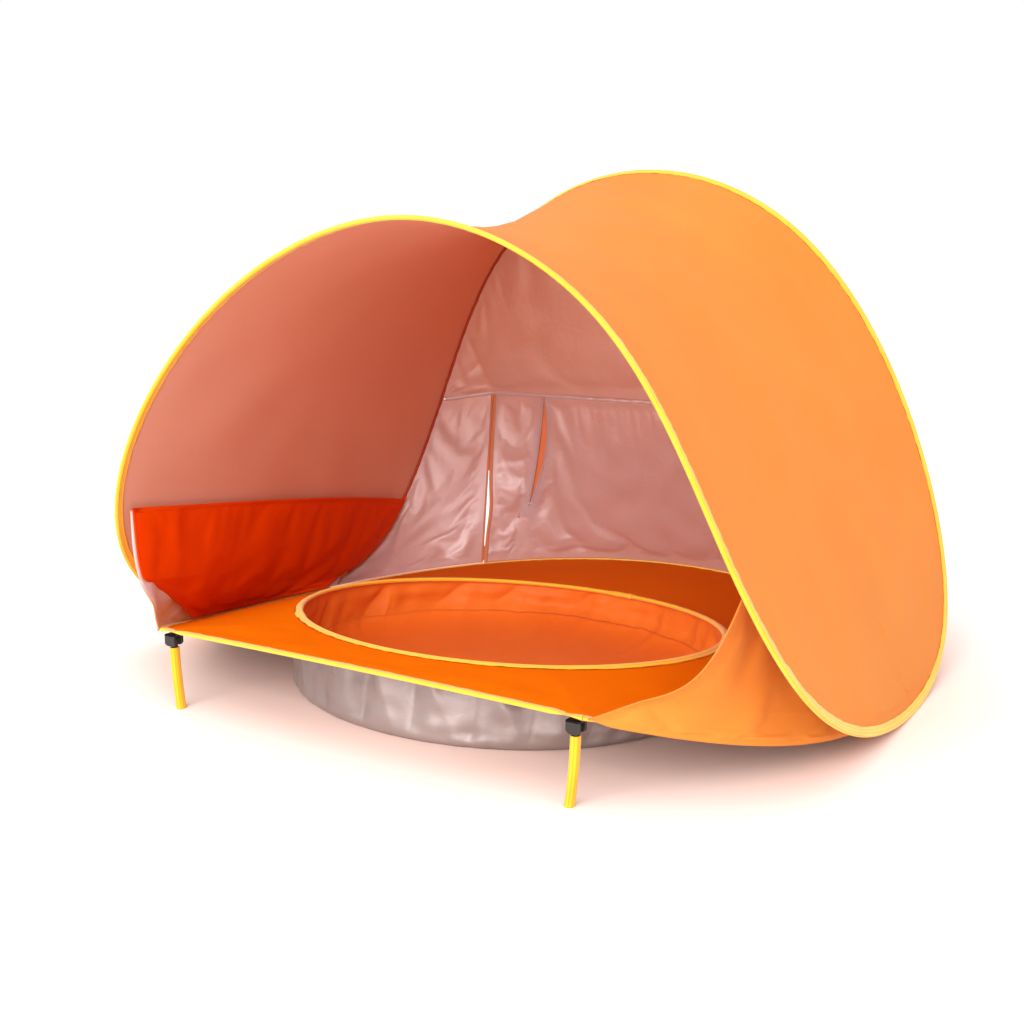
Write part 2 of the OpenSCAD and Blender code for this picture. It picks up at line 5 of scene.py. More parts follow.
import bpy
import numpy as np
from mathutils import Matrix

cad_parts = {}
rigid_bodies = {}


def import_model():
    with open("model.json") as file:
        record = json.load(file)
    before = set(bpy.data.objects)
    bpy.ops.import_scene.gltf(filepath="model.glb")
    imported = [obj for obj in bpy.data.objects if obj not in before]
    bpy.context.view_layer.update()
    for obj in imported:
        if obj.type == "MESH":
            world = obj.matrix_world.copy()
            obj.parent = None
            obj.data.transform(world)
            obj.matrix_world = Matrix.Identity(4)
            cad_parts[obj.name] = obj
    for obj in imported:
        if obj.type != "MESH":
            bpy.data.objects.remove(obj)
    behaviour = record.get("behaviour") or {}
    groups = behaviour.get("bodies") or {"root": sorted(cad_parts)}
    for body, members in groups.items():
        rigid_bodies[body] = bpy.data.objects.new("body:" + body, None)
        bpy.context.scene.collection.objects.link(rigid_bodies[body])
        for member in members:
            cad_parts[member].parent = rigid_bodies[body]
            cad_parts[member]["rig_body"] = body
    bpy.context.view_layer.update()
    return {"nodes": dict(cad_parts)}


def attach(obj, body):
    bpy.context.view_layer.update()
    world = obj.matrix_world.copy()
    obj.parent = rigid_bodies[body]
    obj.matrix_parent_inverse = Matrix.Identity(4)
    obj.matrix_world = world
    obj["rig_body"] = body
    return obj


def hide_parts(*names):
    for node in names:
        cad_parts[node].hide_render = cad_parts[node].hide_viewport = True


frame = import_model()
MM = 0.001
UP = (0, 0, 1)
scene = bpy.context.scene


# ---- camera: a 45.7 mm lens on a 36 mm sensor, a little above the entrance and to its right ----
def make_camera():
    data = bpy.data.cameras.new("camera")
    data.lens = 45.7
    data.sensor_width = 36.0
    data.clip_start = 0.05
    data.clip_end = 60.0
    camera = bpy.data.objects.new("camera", data)
    scene.collection.objects.link(camera)
    camera.location = (1.037, -1.771, 0.640)
    pitch, yaw = 0.193, 0.5606
    camera.rotation_euler = (math.pi / 2 - pitch, 0.0, yaw)
    scene.camera = camera


make_camera()


# ---- small vector helpers; every length below is in millimetres until a mesh is made ----
def unit(v):
    return v / np.linalg.norm(v, axis=-1, keepdims=True)


def across(v, axis):
    return v - axis * (v * axis).sum(-1, keepdims=True)


def flip_x(p):
    return p * np.array([-1.0, 1.0, 1.0])


def lerp(a, b, u):
    return a + (b - a) * u


def col(x):
    return np.asarray(x, float)[..., None]


def point(x, y, z):
    return np.stack(np.broadcast_arrays(*(np.asarray(c, float) for c in (x, y, z))), -1)


def smooth(x):
    x = np.clip(x, 0, 1)
    return x * x * (3 - 2 * x)


def bezier(p, q, r, s, w):
    return p * (1 - w)**3 + q * 3 * w * (1 - w)**2 + r * 3 * w * w * (1 - w) + s * w**3


def run(points):
    """The length along a line up to each of its points."""
    return np.concatenate([[0], np.cumsum(np.linalg.norm(np.diff(points, axis=0), axis=-1))])


def waves(x, y, size, seed, count=14):
    """A smooth random field of about unit height, with features about size across."""
    rng = np.random.default_rng(seed)
    total = 0.0
    for _ in range(count):
        angle, phase = rng.uniform(0, 2 * np.pi, 2)
        k = 2 * np.pi / size * rng.uniform(0.6, 1.7)
        total = total + np.sin(k * (x * np.cos(angle) + y * np.sin(angle)) + phase)
    return total / math.sqrt(count / 2)


# ---- saddle hoop: a closed uniform cubic spline, t = 0 front crown, 4 ground, 8 rear crown ----
HOOP_RIGHT = np.array([
    [0, -381, 739], [337, -408, 594], [499, -478, 312], [582, -352, 71], [581, 62, -20],
    [568, 329, 66], [470, 383, 397], [297, 311, 713], [0, 296, 819]], float)
HOOP = np.vstack([HOOP_RIGHT, flip_x(HOOP_RIGHT[1:-1][::-1])])
TAPE_BULGE, CLOTH_T = 3.3, 1.2
SEAT = TAPE_BULGE + 0.5 + CLOTH_T / 2
EXIT_DEPTH = 11.0
ROOF_SAG = 42.0


def hoop(t):
    t = np.asarray(t, float)
    i = np.floor(t).astype(int)
    u = col(t - i)
    p, q, r, s = (HOOP[(i + k) % 16] for k in (-1, 0, 1, 2))
    return (p * (1 - u)**3 + q * (3 * u**3 - 6 * u * u + 4)
            + r * (1 + 3 * u + 3 * u * u - 3 * u**3) + s * u**3) / 6


def hoop_dir(t):
    t = np.asarray(t, float)
    return unit(hoop(t + 0.01) - hoop(t - 0.01))


def sag_point(a):
    a = np.asarray(a, float)
    m = (hoop(4 * a) + hoop(8 - 4 * a)) / 2
    way = unit(point(-m[..., 0], 0 * a, 250 - m[..., 2]))
    return m + way * col(2 * ROOF_SAG * (1 - a * a)**2)


def canopy_point(a, v):
    a, v = np.broadcast_arrays(np.asarray(a, float), np.asarray(v, float))
    w = col(v)
    return hoop(4 * a) * (1 - w)**2 + sag_point(a) * 2 * w * (1 - w) + hoop(8 - 4 * a) * w * w


def hoop_in(t):
    t = np.asarray(t, float) % 16
    right = np.where(t <= 8, t, 16 - t)
    a = np.where(right <= 4, right / 4, (8 - right) / 4)
    v = unit(across(sag_point(np.minimum(a, 0.85)) - hoop(right), hoop_dir(right)))
    return np.where(col(t <= 8) > 0, v, flip_x(v))


def hoop_out(t):
    return unit(np.cross(hoop_dir(t), hoop_in(t)))


def hoop_seat(t, depth, inside):
    return hoop(t) + hoop_in(t) * col(depth) - hoop_out(t) * col(inside)


# ---- base loop, front edge and pool rim ----
CORNER_ANGLE = 141.6
POOL_HALF_W, POOL_HALF_D, POOL_Y = 342.0, 297.0, -128.5


def base(phi):
    p = np.radians(np.asarray(phi, float))
    return point(551 * np.sin(p), -65 + 569 * np.cos(p) + 11 * np.cos(2 * p),
                 66.5 - 55 * np.cos(p) + 41 * np.cos(2 * p) - 7 * np.cos(3 * p))


def rim(theta):
    p = np.radians(np.asarray(theta, float))
    return point(POOL_HALF_W * np.cos(p), POOL_Y + POOL_HALF_D * np.sin(p), 94 - 22 * np.sin(p))


def facing(p):
    return np.degrees(np.arctan2((p[..., 1] - POOL_Y) / POOL_HALF_D, p[..., 0] / POOL_HALF_W))


def base_dir(phi):
    phi = np.asarray(phi, float)
    return unit(base(phi - 0.2) - base(phi + 0.2))


def base_in(phi):
    return unit(across(rim(facing(base(phi))) - base(phi), base_dir(phi)))


def base_seat(phi, depth):
    inwards = base_in(phi)
    return base(phi) + inwards * col(depth) + unit(np.cross(base_dir(phi), inwards)) * SEAT


CORNER = base(CORNER_ANGLE)


def front_edge(u):
    u = np.asarray(u, float)
    return point(CORNER[0] * u, CORNER[1] - 8 * (1 - u * u), CORNER[2] + 6 * (1 - u * u))


ARC_AWAY = unit(base(CORNER_ANGLE - 2) - CORNER)
FRONT_AWAY = unit(front_edge(0.95) - CORNER)
MITRE_NORMAL = unit(ARC_AWAY - FRONT_AWAY)
MITRE_IN = unit(across(rim(facing(CORNER)) - CORNER, MITRE_NORMAL))
MITRE_SCALE = 1 / np.linalg.norm(np.cross(unit(ARC_AWAY + FRONT_AWAY), ARC_AWAY))
MITRE_UP = unit(np.cross(MITRE_IN, MITRE_NORMAL))
ARC_STEPS, FRONT_STEPS, TURNING_STEPS, GAP = 54, 18, 4, 0.3
LOOP_STEPS = ARC_STEPS + FRONT_STEPS


def mitred(k, steps, curve, direction, away):
    """Frame along one side of the base loop: point, inwards, up and shift, mitred at both ends."""
    k = np.asarray(k, float)
    kc = np.clip(k, 1, steps - 1)
    way = direction(kc)
    inwards = unit(across(rim(facing(curve(kc))) - curve(kc), way))
    share = col(np.maximum(0, 1 - np.minimum(kc, steps - kc) / TURNING_STEPS))
    mitre = np.where(inwards[..., :1] > 0, flip_x(MITRE_IN), MITRE_IN)
    inwards = unit(across(lerp(inwards, mitre, share), way))
    up = unit(np.cross(way, inwards))
    w = col(np.maximum(0, np.maximum(1 - k, k - steps + 1)))
    left = curve(k)[..., :1] < 0
    ends = [np.where(left, flip_x(e), e) for e in (MITRE_IN * MITRE_SCALE, MITRE_UP, away * GAP)]
    return curve(k), lerp(inwards, ends[0], w), lerp(up, ends[1], w), ends[2] * w


def arc_phi(k):
    return CORNER_ANGLE * (1 - 2 * k / ARC_STEPS)


def front_u(k):
    return -1 + 2 * k / FRONT_STEPS


def arc_frame(k):
    return mitred(k, ARC_STEPS, lambda q: base(arc_phi(q)), lambda q: base_dir(arc_phi(q)), ARC_AWAY)


def front_frame(k):
    def direction(q):
        return unit(front_edge(front_u(q) + 0.01) - front_edge(front_u(q) - 0.01))
    return mitred(k, FRONT_STEPS, lambda q: front_edge(front_u(q)), direction, FRONT_AWAY)


def loop_frame(k):
    """Frame around the whole base loop, k from 0 to LOOP_STEPS."""
    k = np.asarray(k, float)
    arc, front = arc_frame(np.minimum(k, ARC_STEPS)), front_frame(np.maximum(k - ARC_STEPS, 0))
    rear = col(k <= ARC_STEPS) > 0
    return tuple(np.where(rear, a, f) for a, f in zip(arc, front))


def rim_frame(k):
    """Frame around the pool rim, with inwards pointing away from the water, into the floor cloth."""
    outer = loop_frame(k)[0]
    theta = facing(outer)
    way = unit(rim(theta - 0.2) - rim(theta + 0.2))
    outwards = unit(across(outer - rim(theta), way))
    return rim(theta), outwards, unit(np.cross(way, outwards)), 0 * outer


def hoop_frame(t):
    return hoop(t), hoop_in(t), hoop_out(t), 0 * hoop(t)


# ---- meshes ----
def new_object(name, verts, faces, materials, uvs=None, smooth_faces=True):
    mesh = bpy.data.meshes.new(name)
    mesh.from_pydata((np.asarray(verts) * MM).tolist(), [], [list(map(int, f)) for f in faces])
    for m in materials:
        mesh.materials.append(m)
    if uvs is not None:
        layer = mesh.uv_layers.new(name="UVMap")
        loops = np.empty(len(mesh.loops), int)
        mesh.loops.foreach_get("vertex_index", loops)
        layer.data.foreach_set("uv", (uvs[loops] * MM).astype(np.float32).ravel())
    mesh.polygons.foreach_set("use_smooth", [smooth_faces] * len(mesh.polygons))
    mesh.update()
    obj = bpy.data.objects.new(name, mesh)
    scene.collection.objects.link(obj)
    return obj


def grid_faces(ids, wrap=False):
    """Quads of a grid of vertex numbers, with any quad that has folded into a triangle or a line mended."""
    if wrap:
        ids = np.concatenate([ids, ids[:, :1]], 1)
    quads = np.stack([ids[:-1, :-1], ids[1:, :-1], ids[1:, 1:], ids[:-1, 1:]], -1).reshape(-1, 4)
    faces = []
    for q in quads.tolist():
        f = [v for i, v in enumerate(q) if v != q[i - 1]]
        if len(set(f)) > 2:
            faces.append(f)
    return faces


def grid_uv(grid):
    """Real lengths along and across a grid, in millimetres."""
    du = np.linalg.norm(np.diff(grid, axis=1), axis=-1).mean(0)
    dv = np.linalg.norm(np.diff(grid, axis=0), axis=-1).mean(1)
    return np.stack(np.meshgrid(*(np.concatenate([[0], np.cumsum(d)]) for d in (du, dv))), -1)


def grid_normals(grid, wrap=False):
    if wrap:
        du = np.roll(grid, -1, 1) - np.roll(grid, 1, 1)
    else:
        du = np.gradient(grid, axis=1)
    n = np.cross(du, np.gradient(grid, axis=0))
    length = np.linalg.norm(n, axis=-1, keepdims=True)
    return n / np.maximum(length, 1e-9)


def evaluated(obj):
    """Replaces an object's mesh with the result of its modifiers."""
    bpy.context.view_layer.update()
    made = bpy.data.meshes.new_from_object(obj.evaluated_get(bpy.context.evaluated_depsgraph_get()))
    obj.modifiers.clear()
    obj.data = made
    return obj


class Sheet:
    """A cloth panel: one or more grids that share the vertices where they meet.
    Its first material is on the side that faces away from the shelter's inside, or along way."""

    def __init__(self, name, grids, materials, wrap=False, thick=0.8, way=None):
        self.name, self.wrap, self.thick = name, wrap, thick
        self.grids = [np.asarray(g, float) for g in grids]
        flat = np.concatenate([g.reshape(-1, 3) for g in self.grids])
        key = np.round(flat, 2)
        _, first, inverse = np.unique(key, axis=0, return_index=True, return_inverse=True)
        inverse = inverse.reshape(-1)
        order = np.argsort(first)
        rank = np.empty(len(order), int)
        rank[order] = np.arange(len(order))
        ids = rank[inverse]
        self.verts = flat[first[order]]
        uvs = np.concatenate([grid_uv(g).reshape(-1, 2) for g in self.grids])[first[order]]
        self.ids, start = [], 0
        for g in self.grids:
            count = g.shape[0] * g.shape[1]
            self.ids.append(ids[start:start + count].reshape(g.shape[:2]))
            start += count
        self.sign = 1
        if way is None:
            outwards = self.verts - np.array([0, 0, 250.0])
        elif way == "round":
            outwards = (self.verts - np.array([0, POOL_Y, 0])) * np.array([1, 1, 0.0])
        else:
            outwards = np.array(way, float)
        if (self.normals() * outwards).sum() < 0:
            self.sign = -1
        faces = [f[::self.sign] for i in self.ids for f in grid_faces(i, wrap)]
        self.obj = new_object(name, self.verts, faces, materials, uvs)

    def normals(self):
        n = np.zeros((len(self.verts), 3))
        for g, i in zip(self.grids, self.ids):
            np.add.at(n, i.reshape(-1), -self.sign * grid_normals(g, self.wrap).reshape(-1, 3))
        return n / np.maximum(np.linalg.norm(n, axis=1, keepdims=True), 1e-9)

    def field(self, values):
        """One value per vertex from one array per grid."""
        out = np.zeros(len(self.verts))
        for v, i in zip(values, self.ids):
            out[i.reshape(-1)] = np.broadcast_to(v, i.shape).reshape(-1)
        return out

    def move(self, verts):
        self.verts = verts
        self.grids = [verts[i] for i in self.ids]
        self.obj.data.vertices.foreach_set("co", (verts * MM).astype(np.float32).ravel())
        self.obj.data.update()

    def push(self, height):
        """Moves the sheet along its own normals by one height per vertex."""
        self.move(self.verts + self.normals() * height[:, None])

    def close(self, levels=1):
        """Smooths the sheet and gives it its thickness: the first material on the outside."""
        if levels:
            sub = self.obj.modifiers.new("smooth", "SUBSURF")
            sub.levels = sub.render_levels = levels
            sub.boundary_smooth = "PRESERVE_CORNERS"
        shell = self.obj.modifiers.new("shell", "SOLIDIFY")
        shell.thickness = self.thick * MM
        shell.offset = 0
        shell.use_quality_normals = True
        shell.material_offset = 1
        shell.material_offset_rim = 0
        return evaluated(self.obj)


sheets = {}


def cut(name, grids, materials, **how):
    sheets[name] = Sheet(name + "_cloth", grids, materials, **how)


def cut_pair(name, right, left, materials):
    """The panel of each side: the left one is given as it would lie on the right."""
    cut(name + "_right", [right], materials)
    cut(name + "_left", [flip_x(left)], materials)


def simulate(jobs, frames):
    """Lets pinned sheets buckle as cloth that is cut a little larger than its frame."""
    for sheet, pins, slack, cap, bend in jobs:
        obj = sheet.obj
        group = obj.vertex_groups.new(name="pin")
        for i in np.nonzero(pins > 0)[0].tolist():
            group.add([i], float(pins[i]), "REPLACE")
        cloth = obj.modifiers.new("cloth", "CLOTH")
        s = cloth.settings
        s.quality = 5
        s.mass = 0.12
        s.tension_stiffness = s.compression_stiffness = 12
        s.shear_stiffness = 6
        s.bending_stiffness = bend
        s.tension_damping = s.compression_damping = s.shear_damping = 8
        s.air_damping = 3
        s.vertex_group_mass = "pin"
        s.pin_stiffness = 1
        s.shrink_min = -slack
        s.effector_weights.gravity = 0.25
        cloth.collision_settings.use_collision = False
        cloth.collision_settings.use_self_collision = False
        cloth.point_cache.frame_start = 1
        cloth.point_cache.frame_end = frames
    scene.frame_start, scene.frame_end = 1, frames
    for f in range(1, frames + 1):
        scene.frame_set(f)
    graph = bpy.context.evaluated_depsgraph_get()
    for sheet, pins, slack, cap, bend in jobs:
        data = sheet.obj.evaluated_get(graph).data
        co = np.empty(len(data.vertices) * 3, np.float32)
        data.vertices.foreach_get("co", co)
        moved = co.reshape(-1, 3) / MM - sheet.verts
        length = np.linalg.norm(moved, axis=1, keepdims=True)
        limit = cap * np.tanh(length / cap) / np.maximum(length, 1e-9)
        moved = np.where(np.isfinite(moved), moved * limit, 0) * (1 - pins[:, None])
        result = sheet.verts + moved
        sheet.obj.modifiers.clear()
        sheet.obj.vertex_groups.clear()
        sheet.move(result)
    scene.frame_set(1)


# ---- materials ----
def srgb(colour):
    """A colour given as 0 to 255, as the shader's linear values."""
    return tuple((c / 255 / 12.92 if c / 255 <= 0.04045 else ((c / 255 + 0.055) / 1.055)**2.4)
                 for c in colour) + (1.0,)


BAND_PITCH = 0.314  # between the bands of a wave texture whose scale is 1


class Nodes:
    """A small helper for one material's node tree."""

    def __init__(self, name):
        self.material = bpy.data.materials.new(name)
        self.material.use_nodes = True
        self.tree = self.material.node_tree
        self.bsdf = self.tree.nodes["Principled BSDF"]

    def add(self, kind, **inputs):
        node = self.tree.nodes.new("ShaderNode" + kind)
        for key, value in inputs.items():
            self.put(node.inputs[key.replace("_", " ")], value)
        return node

    def put(self, socket, value):
        if isinstance(value, bpy.types.NodeSocket):
            self.tree.links.new(value, socket)
        else:
            socket.default_value = value

    def coordinates(self):
        """The cloth's own lengths along and across, and the place on the object."""
        outputs = self.add("TexCoord").outputs
        return outputs["UV"], outputs["Object"]

    def bands(self, vector, pitch, distortion, direction="X", detail=2.0):
        """Threads, ribs or grooves, one every pitch metres."""
        node = self.add("TexWave", Vector=vector, Scale=BAND_PITCH / pitch, Distortion=distortion,
                        Detail=detail)
        node.bands_direction = direction
        return node.outputs["Fac"]

    def scaled(self, vector, scale):
        return self.add("Mapping", Vector=vector, Scale=scale).outputs[0]

    def noise(self, vector, scale, detail=3.0, rough=0.55, distortion=0.0):
        return self.add("TexNoise", Vector=vector, Scale=scale, Detail=detail,
                        Roughness=rough, Distortion=distortion).outputs[0]

    def ramp(self, fac, stops):
        node = self.add("ValToRGB", Fac=fac)
        while len(node.color_ramp.elements) < len(stops):
            node.color_ramp.elements.new(0.5)
        for e, (at, colour) in zip(node.color_ramp.elements, stops):
            e.position, e.color = at, colour
        return node.outputs[0]

    def mix(self, fac, a, b, kind="MIX"):
        node = self.tree.nodes.new("ShaderNodeMix")
        node.data_type, node.blend_type = "RGBA", kind
        for number, value in ((0, fac), (6, a), (7, b)):
            self.put(node.inputs[number], value)
        return node.outputs[2]

    def math(self, kind, a, b=0.0, c=0.0):
        node = self.tree.nodes.new("ShaderNodeMath")
        node.operation = kind
        for socket, value in zip(node.inputs, (a, b, c)):
            self.put(socket, value)
        return node.outputs[0]

    def bump(self, height, strength, distance, normal=None):
        node = self.add("Bump", Height=height, Strength=strength, Distance=distance)
        if normal is not None:
            self.put(node.inputs["Normal"], normal)
        return node.outputs[0]

    def set(self, **values):
        for key, value in values.items():
            self.put(self.bsdf.inputs[key.replace("_", " ")], value)


def cloth_material(name, colour, shade, rough, metal=0.0, sheen=0.06, crinkle=0.25, weave=0.5,
                   thread=0.0009, gradient=None, through=0.0, shine=0.22):
    """Coated woven polyester: fine crossed threads, fine creases, and a soft change of colour; gradient paints
    light, a colour wash by height that stands in for the light shining through the cloth.
    through is the share of the light that shines through it."""
    n = Nodes(name)
    colour, shade = srgb(colour), srgb(shade)
    uv, place = n.coordinates()
    threads = n.math("MAXIMUM", *(n.bands(uv, thread, 0.4, way, 1.0) for way in "XY"))
    cloudy = n.noise(place, 5.0, 3.0)
    slubs = n.noise(n.scaled(uv, (60, 900, 1)), 1.0, 2.0)
    creases = n.noise(place, 38.0, 5.0, 0.62, 1.1)
    base_colour = n.ramp(cloudy, [(0.3, shade), (0.7, colour)])
    # Painted light: gradient paints the glow of light shining through the cloth, a colour wash that changes
    # with height and mostly replaces the cloth's own colour.
    if gradient is not None:
        low, high, z_low, z_high = gradient
        height = n.add("SeparateXYZ", Vector=place).outputs[2]
        share = n.add("MapRange", Value=height, From_Min=z_low, From_Max=z_high)
        painted_glow_wash = n.ramp(share.outputs[0], [(0.0, srgb(low)), (1.0, srgb(high))])
        base_colour = n.mix(n.math("MULTIPLY", cloudy, 0.4), painted_glow_wash, base_colour)
    tint = n.ramp(slubs, [(0.25, (0.93, 0.93, 0.93, 1)), (0.75, (1, 1, 1, 1))])
    n.set(Base_Color=n.mix(1.0, base_colour, tint, "MULTIPLY"))
    n.set(Roughness=n.math("MULTIPLY_ADD", creases, 0.16, rough - 0.08))
    fine = n.bump(threads, weave, 0.00012)
    n.set(Normal=n.bump(creases, crinkle, 0.0022, fine))
    n.set(Metallic=metal, Sheen_Weight=sheen, Sheen_Roughness=0.4, Specular_IOR_Level=shine)
    if through:
        glow, mixed = n.add("BsdfTranslucent", Color=colour), n.add("MixShader")
        for socket, value in zip(mixed.inputs, (through, n.bsdf.outputs[0], glow.outputs[0])):
            n.put(socket, value)
        n.put(n.tree.nodes["Material Output"].inputs["Surface"], mixed.outputs[0])
    return n.material


def tape_material(name, colour, shade):
    """Grosgrain tape: fine ribs across its length, painted shade in darker lines along it where its grooves
    lie, and a little soiling.
    """
    n = Nodes(name)
    uv, place = n.coordinates()
    ribs = n.bands(uv, 0.0011, 0.6)
    lines = n.bands(uv, 0.0047, 0.3, "Y")
    cloudy = n.noise(place, 14.0, 3.0)
    fuzz = n.noise(place, 900.0, 2.0)
    worn = n.ramp(cloudy, [(0.3, srgb(shade)), (0.62, srgb(colour))])
    # Painted shade: darker orange lines along the tape, standing in for the shade in its grooves.
    groove_painted_shade = n.ramp(lines, [(0.0, (0.93, 0.74, 0.42, 1)), (0.45, (1, 1, 1, 1))])
    n.set(Base_Color=n.mix(1.0, worn, groove_painted_shade, "MULTIPLY"))
    n.set(Roughness=n.math("MULTIPLY_ADD", fuzz, 0.2, 0.6))
    fine = n.bump(ribs, 0.5, 0.00015)
    n.set(Normal=n.bump(fuzz, 0.3, 0.0002, fine))
    n.set(Sheen_Weight=0.35, Sheen_Roughness=0.45, Specular_IOR_Level=0.3)
    return n.material


def plastic_material(name, colour, rough):
    n = Nodes(name)
    place = n.coordinates()[1]
    grain = n.noise(place, 1400.0, 3.0)
    scuffs = n.noise(n.scaled(place, (60, 60, 14)), 1.0, 5.0, 0.7)
    colour = srgb(colour)
    pale = tuple(min(1.0, c * 1.8 + 0.01) for c in colour[:3]) + (1.0,)
    n.set(Base_Color=n.ramp(scuffs, [(0.5, colour), (0.8, pale)]))
    n.set(Roughness=n.math("MULTIPLY_ADD", scuffs, 0.22, rough - 0.1))
    n.set(Normal=n.bump(grain, 0.35, 0.0001))
    return n.material


def steel_material(name):
    n = Nodes(name)
    place = n.coordinates()[1]
    brushed = n.noise(n.scaled(place, (300, 300, 2200)), 1.0, 3.0)
    n.set(Base_Color=n.ramp(brushed, [(0.3, srgb((150, 150, 152))), (0.7, srgb((196, 196, 200)))]))
    n.set(Roughness=n.math("MULTIPLY_ADD", brushed, 0.2, 0.25))
    n.set(Normal=n.bump(brushed, 0.2, 0.00005))
    n.set(Metallic=1.0)
    return n.material


ORANGE = cloth_material("orange_cloth", (255, 160, 64), (255, 153, 57), 0.62, crinkle=0.06, through=0.3)
# Painted light: the lining's salmon colour stands in for the orange light that shines through the canopy onto
# its silver-coated inside, and its gradient makes it more orange higher up.
PAINTED_GLOW_LINING = cloth_material("lining_painted_salmon_glow", (232, 168, 140), (226, 160, 134), 0.52, crinkle=0.10, through=0.3,
                        gradient=((224, 184, 168), (238, 168, 138), 0.15, 0.72))
# Painted light: the silver coating's gradient turns it salmon-orange higher up, standing in for the orange
# light that shines through the cloth.
SILVER = cloth_material("silver_coating", (232, 214, 210), (220, 198, 193), 0.42, 0.3, crinkle=0.5, through=0.3,
                        gradient=((228, 214, 216), (242, 200, 180), 0.28, 0.50))
BAG = cloth_material("bag_coating", (176, 160, 156), (162, 145, 141), 0.36, 0.4, crinkle=0.3, through=0.1)
FLOOR = cloth_material("floor_orange", (255, 126, 4), (252, 118, 2), 0.7, sheen=0.0, crinkle=0.08,
                       through=0.25, shine=0.03)
LINER = cloth_material("liner_orange", (255, 134, 46), (250, 124, 38), 0.5, crinkle=0.2, through=0.2)
POCKET = cloth_material("pocket_orange", (255, 86, 0), (250, 78, 0), 0.5, sheen=0.0, crinkle=0.14,
                        through=0.4, shine=0.08)
RUST = cloth_material("rust_cloth", (246, 172, 122), (240, 160, 112), 0.5, crinkle=0.2, through=0.35)
MAROON = cloth_material("maroon_seam", (196, 78, 40), (180, 66, 32), 0.5, crinkle=0.2)
YELLOW = tape_material("yellow_tape", (255, 200, 52), (252, 188, 36))
SLEEVE = tape_material("yellow_sleeve", (255, 192, 34), (250, 180, 24))
THREAD = plastic_material("yellow_thread", (240, 158, 24), 0.6)
ORANGE_THREAD = plastic_material("orange_thread", (232, 96, 30), 0.6)
PALE_THREAD = plastic_material("pale_thread", (190, 150, 142), 0.6)
PALE_ORANGE_THREAD = plastic_material("pale_orange_thread", (255, 196, 130), 0.6)
BLACK = plastic_material("black_plastic", (38, 31, 28), 0.45)
ROD = plastic_material("glass_rod", (222, 220, 208), 0.4)
STEEL = steel_material("spring_steel")


# ---- tape, hems and stitches ----
# Section of the folded tape, its outside and then its inside: depth from the wire and height
TAPE_REACH = 9.5
TAPE_OUTER = [(9.5, 1.5), (4.0, 1.6), (-1.2, 1.7), (-3.6, 2.6), (-5.8, 3.3), (-8.0, 2.9), (-9.3, 1.2)]
TAPE_INNER = [(9.5, -0.8), (3.0, -0.8), (-2.0, -0.9), (-5.8, -2.5), (-8.4, -1.2)]
TAPE = np.array(TAPE_OUTER + [(-9.6, 0.0)] + [(d, -h) for d, h in TAPE_OUTER[::-1]]
                + TAPE_INNER + [(d, -h) for d, h in TAPE_INNER[::-1]])


def sweep(name, rows, closed, materials):
    """A solid from rings of points; an open one gets flat ends."""
    n, m = rows.shape[:2]
    ids = np.arange(n * m).reshape(n, m)
    ring_ids = np.concatenate([ids, ids[:1]]) if closed else ids
    faces = grid_faces(ring_ids[:, ::-1], wrap=True)
    if not closed:
        faces += [ids[0].tolist(), ids[-1][::-1].tolist()]
    uvs = np.stack(np.meshgrid(run(rows[0]), run(rows[:, 0])), -1)[..., ::-1].reshape(-1, 2)
    return new_object(name, rows.reshape(-1, 3), faces, materials, uvs)


def tape_rows(fr, seed, closed, reach, thick=1.0):
    """The folded binding, with the small ripple that its sewn edges have.
    reach is how far it covers the cloth."""
    p = fr[0]
    s = run(p)
    turn = 2 * np.pi * s / (s[-1] + (np.linalg.norm(p[-1] - p[0]) if closed else 400.0))
    radius = s[-1] / (2 * np.pi)
    x, y = radius * np.cos(turn), radius * np.sin(turn)
    edge = np.clip((TAPE[:, 0] - 1) / (TAPE_REACH - 1), 0, 1)
    width = reach / TAPE_REACH + 0.030 * waves(x, y, 46, seed) + 0.012 * waves(x, y, 13, seed + 1)
    depth = TAPE[None, :, 0] * np.where(TAPE[None, :, 0] > 0, width[:, None], 1.0)
    lift = 0.22 * waves(x, y, 21, seed + 2)[:, None] * edge[None] ** 2
    base_p, inwards, up, shift = (f[:, None, :] for f in fr)
    return base_p + inwards * col(depth) + up * col(TAPE[None, :, 1] * thick + lift) + shift


def stitches(name, paths, normals, material, pitch=3.4, length=2.5, thread=0.5):
    """Raised thread along lines that lie on cloth: one long bead per stitch."""
    bead = np.array([[-0.5, 0, -0.4], [0.5, 0, -0.4], [0, 0.5, 0], [0, -0.5, 0],
                     [0.18, 0, 0.55], [-0.18, 0, 0.55]])
    tris = [(0, 3, 5), (5, 3, 4), (4, 3, 1), (0, 5, 2), (5, 4, 2), (4, 1, 2), (0, 2, 3), (1, 3, 2)]
    verts, faces = [], []
    for path, normal in zip(paths, normals):
        s = run(path)
        at = np.arange(pitch / 2, s[-1], pitch)
        p, q, n = (np.stack([np.interp(place, s, line[:, i]) for i in range(3)], -1)
                   for place, line in ((at, path), (at + 0.4, path), (at, normal)))
        n = unit(n)
        way = q - p
        ok = np.linalg.norm(way, axis=-1) > 1e-6
        p, n, way = p[ok], n[ok], unit(way[ok])
        side = np.cross(n, way)
        v = (p[:, None] + way[:, None] * (bead[:, 0] * length)[None, :, None]
             + side[:, None] * (bead[:, 1] * thread * 1.3)[None, :, None]
             + n[:, None] * (bead[:, 2] * thread)[None, :, None])
        start = sum(len(b) for b in verts)
        verts.append(v.reshape(-1, 3))
        faces += [[start + len(bead) * k + i for i in t] for k in range(len(p)) for t in tris]
    return new_object(name, np.concatenate(verts), faces, [material])


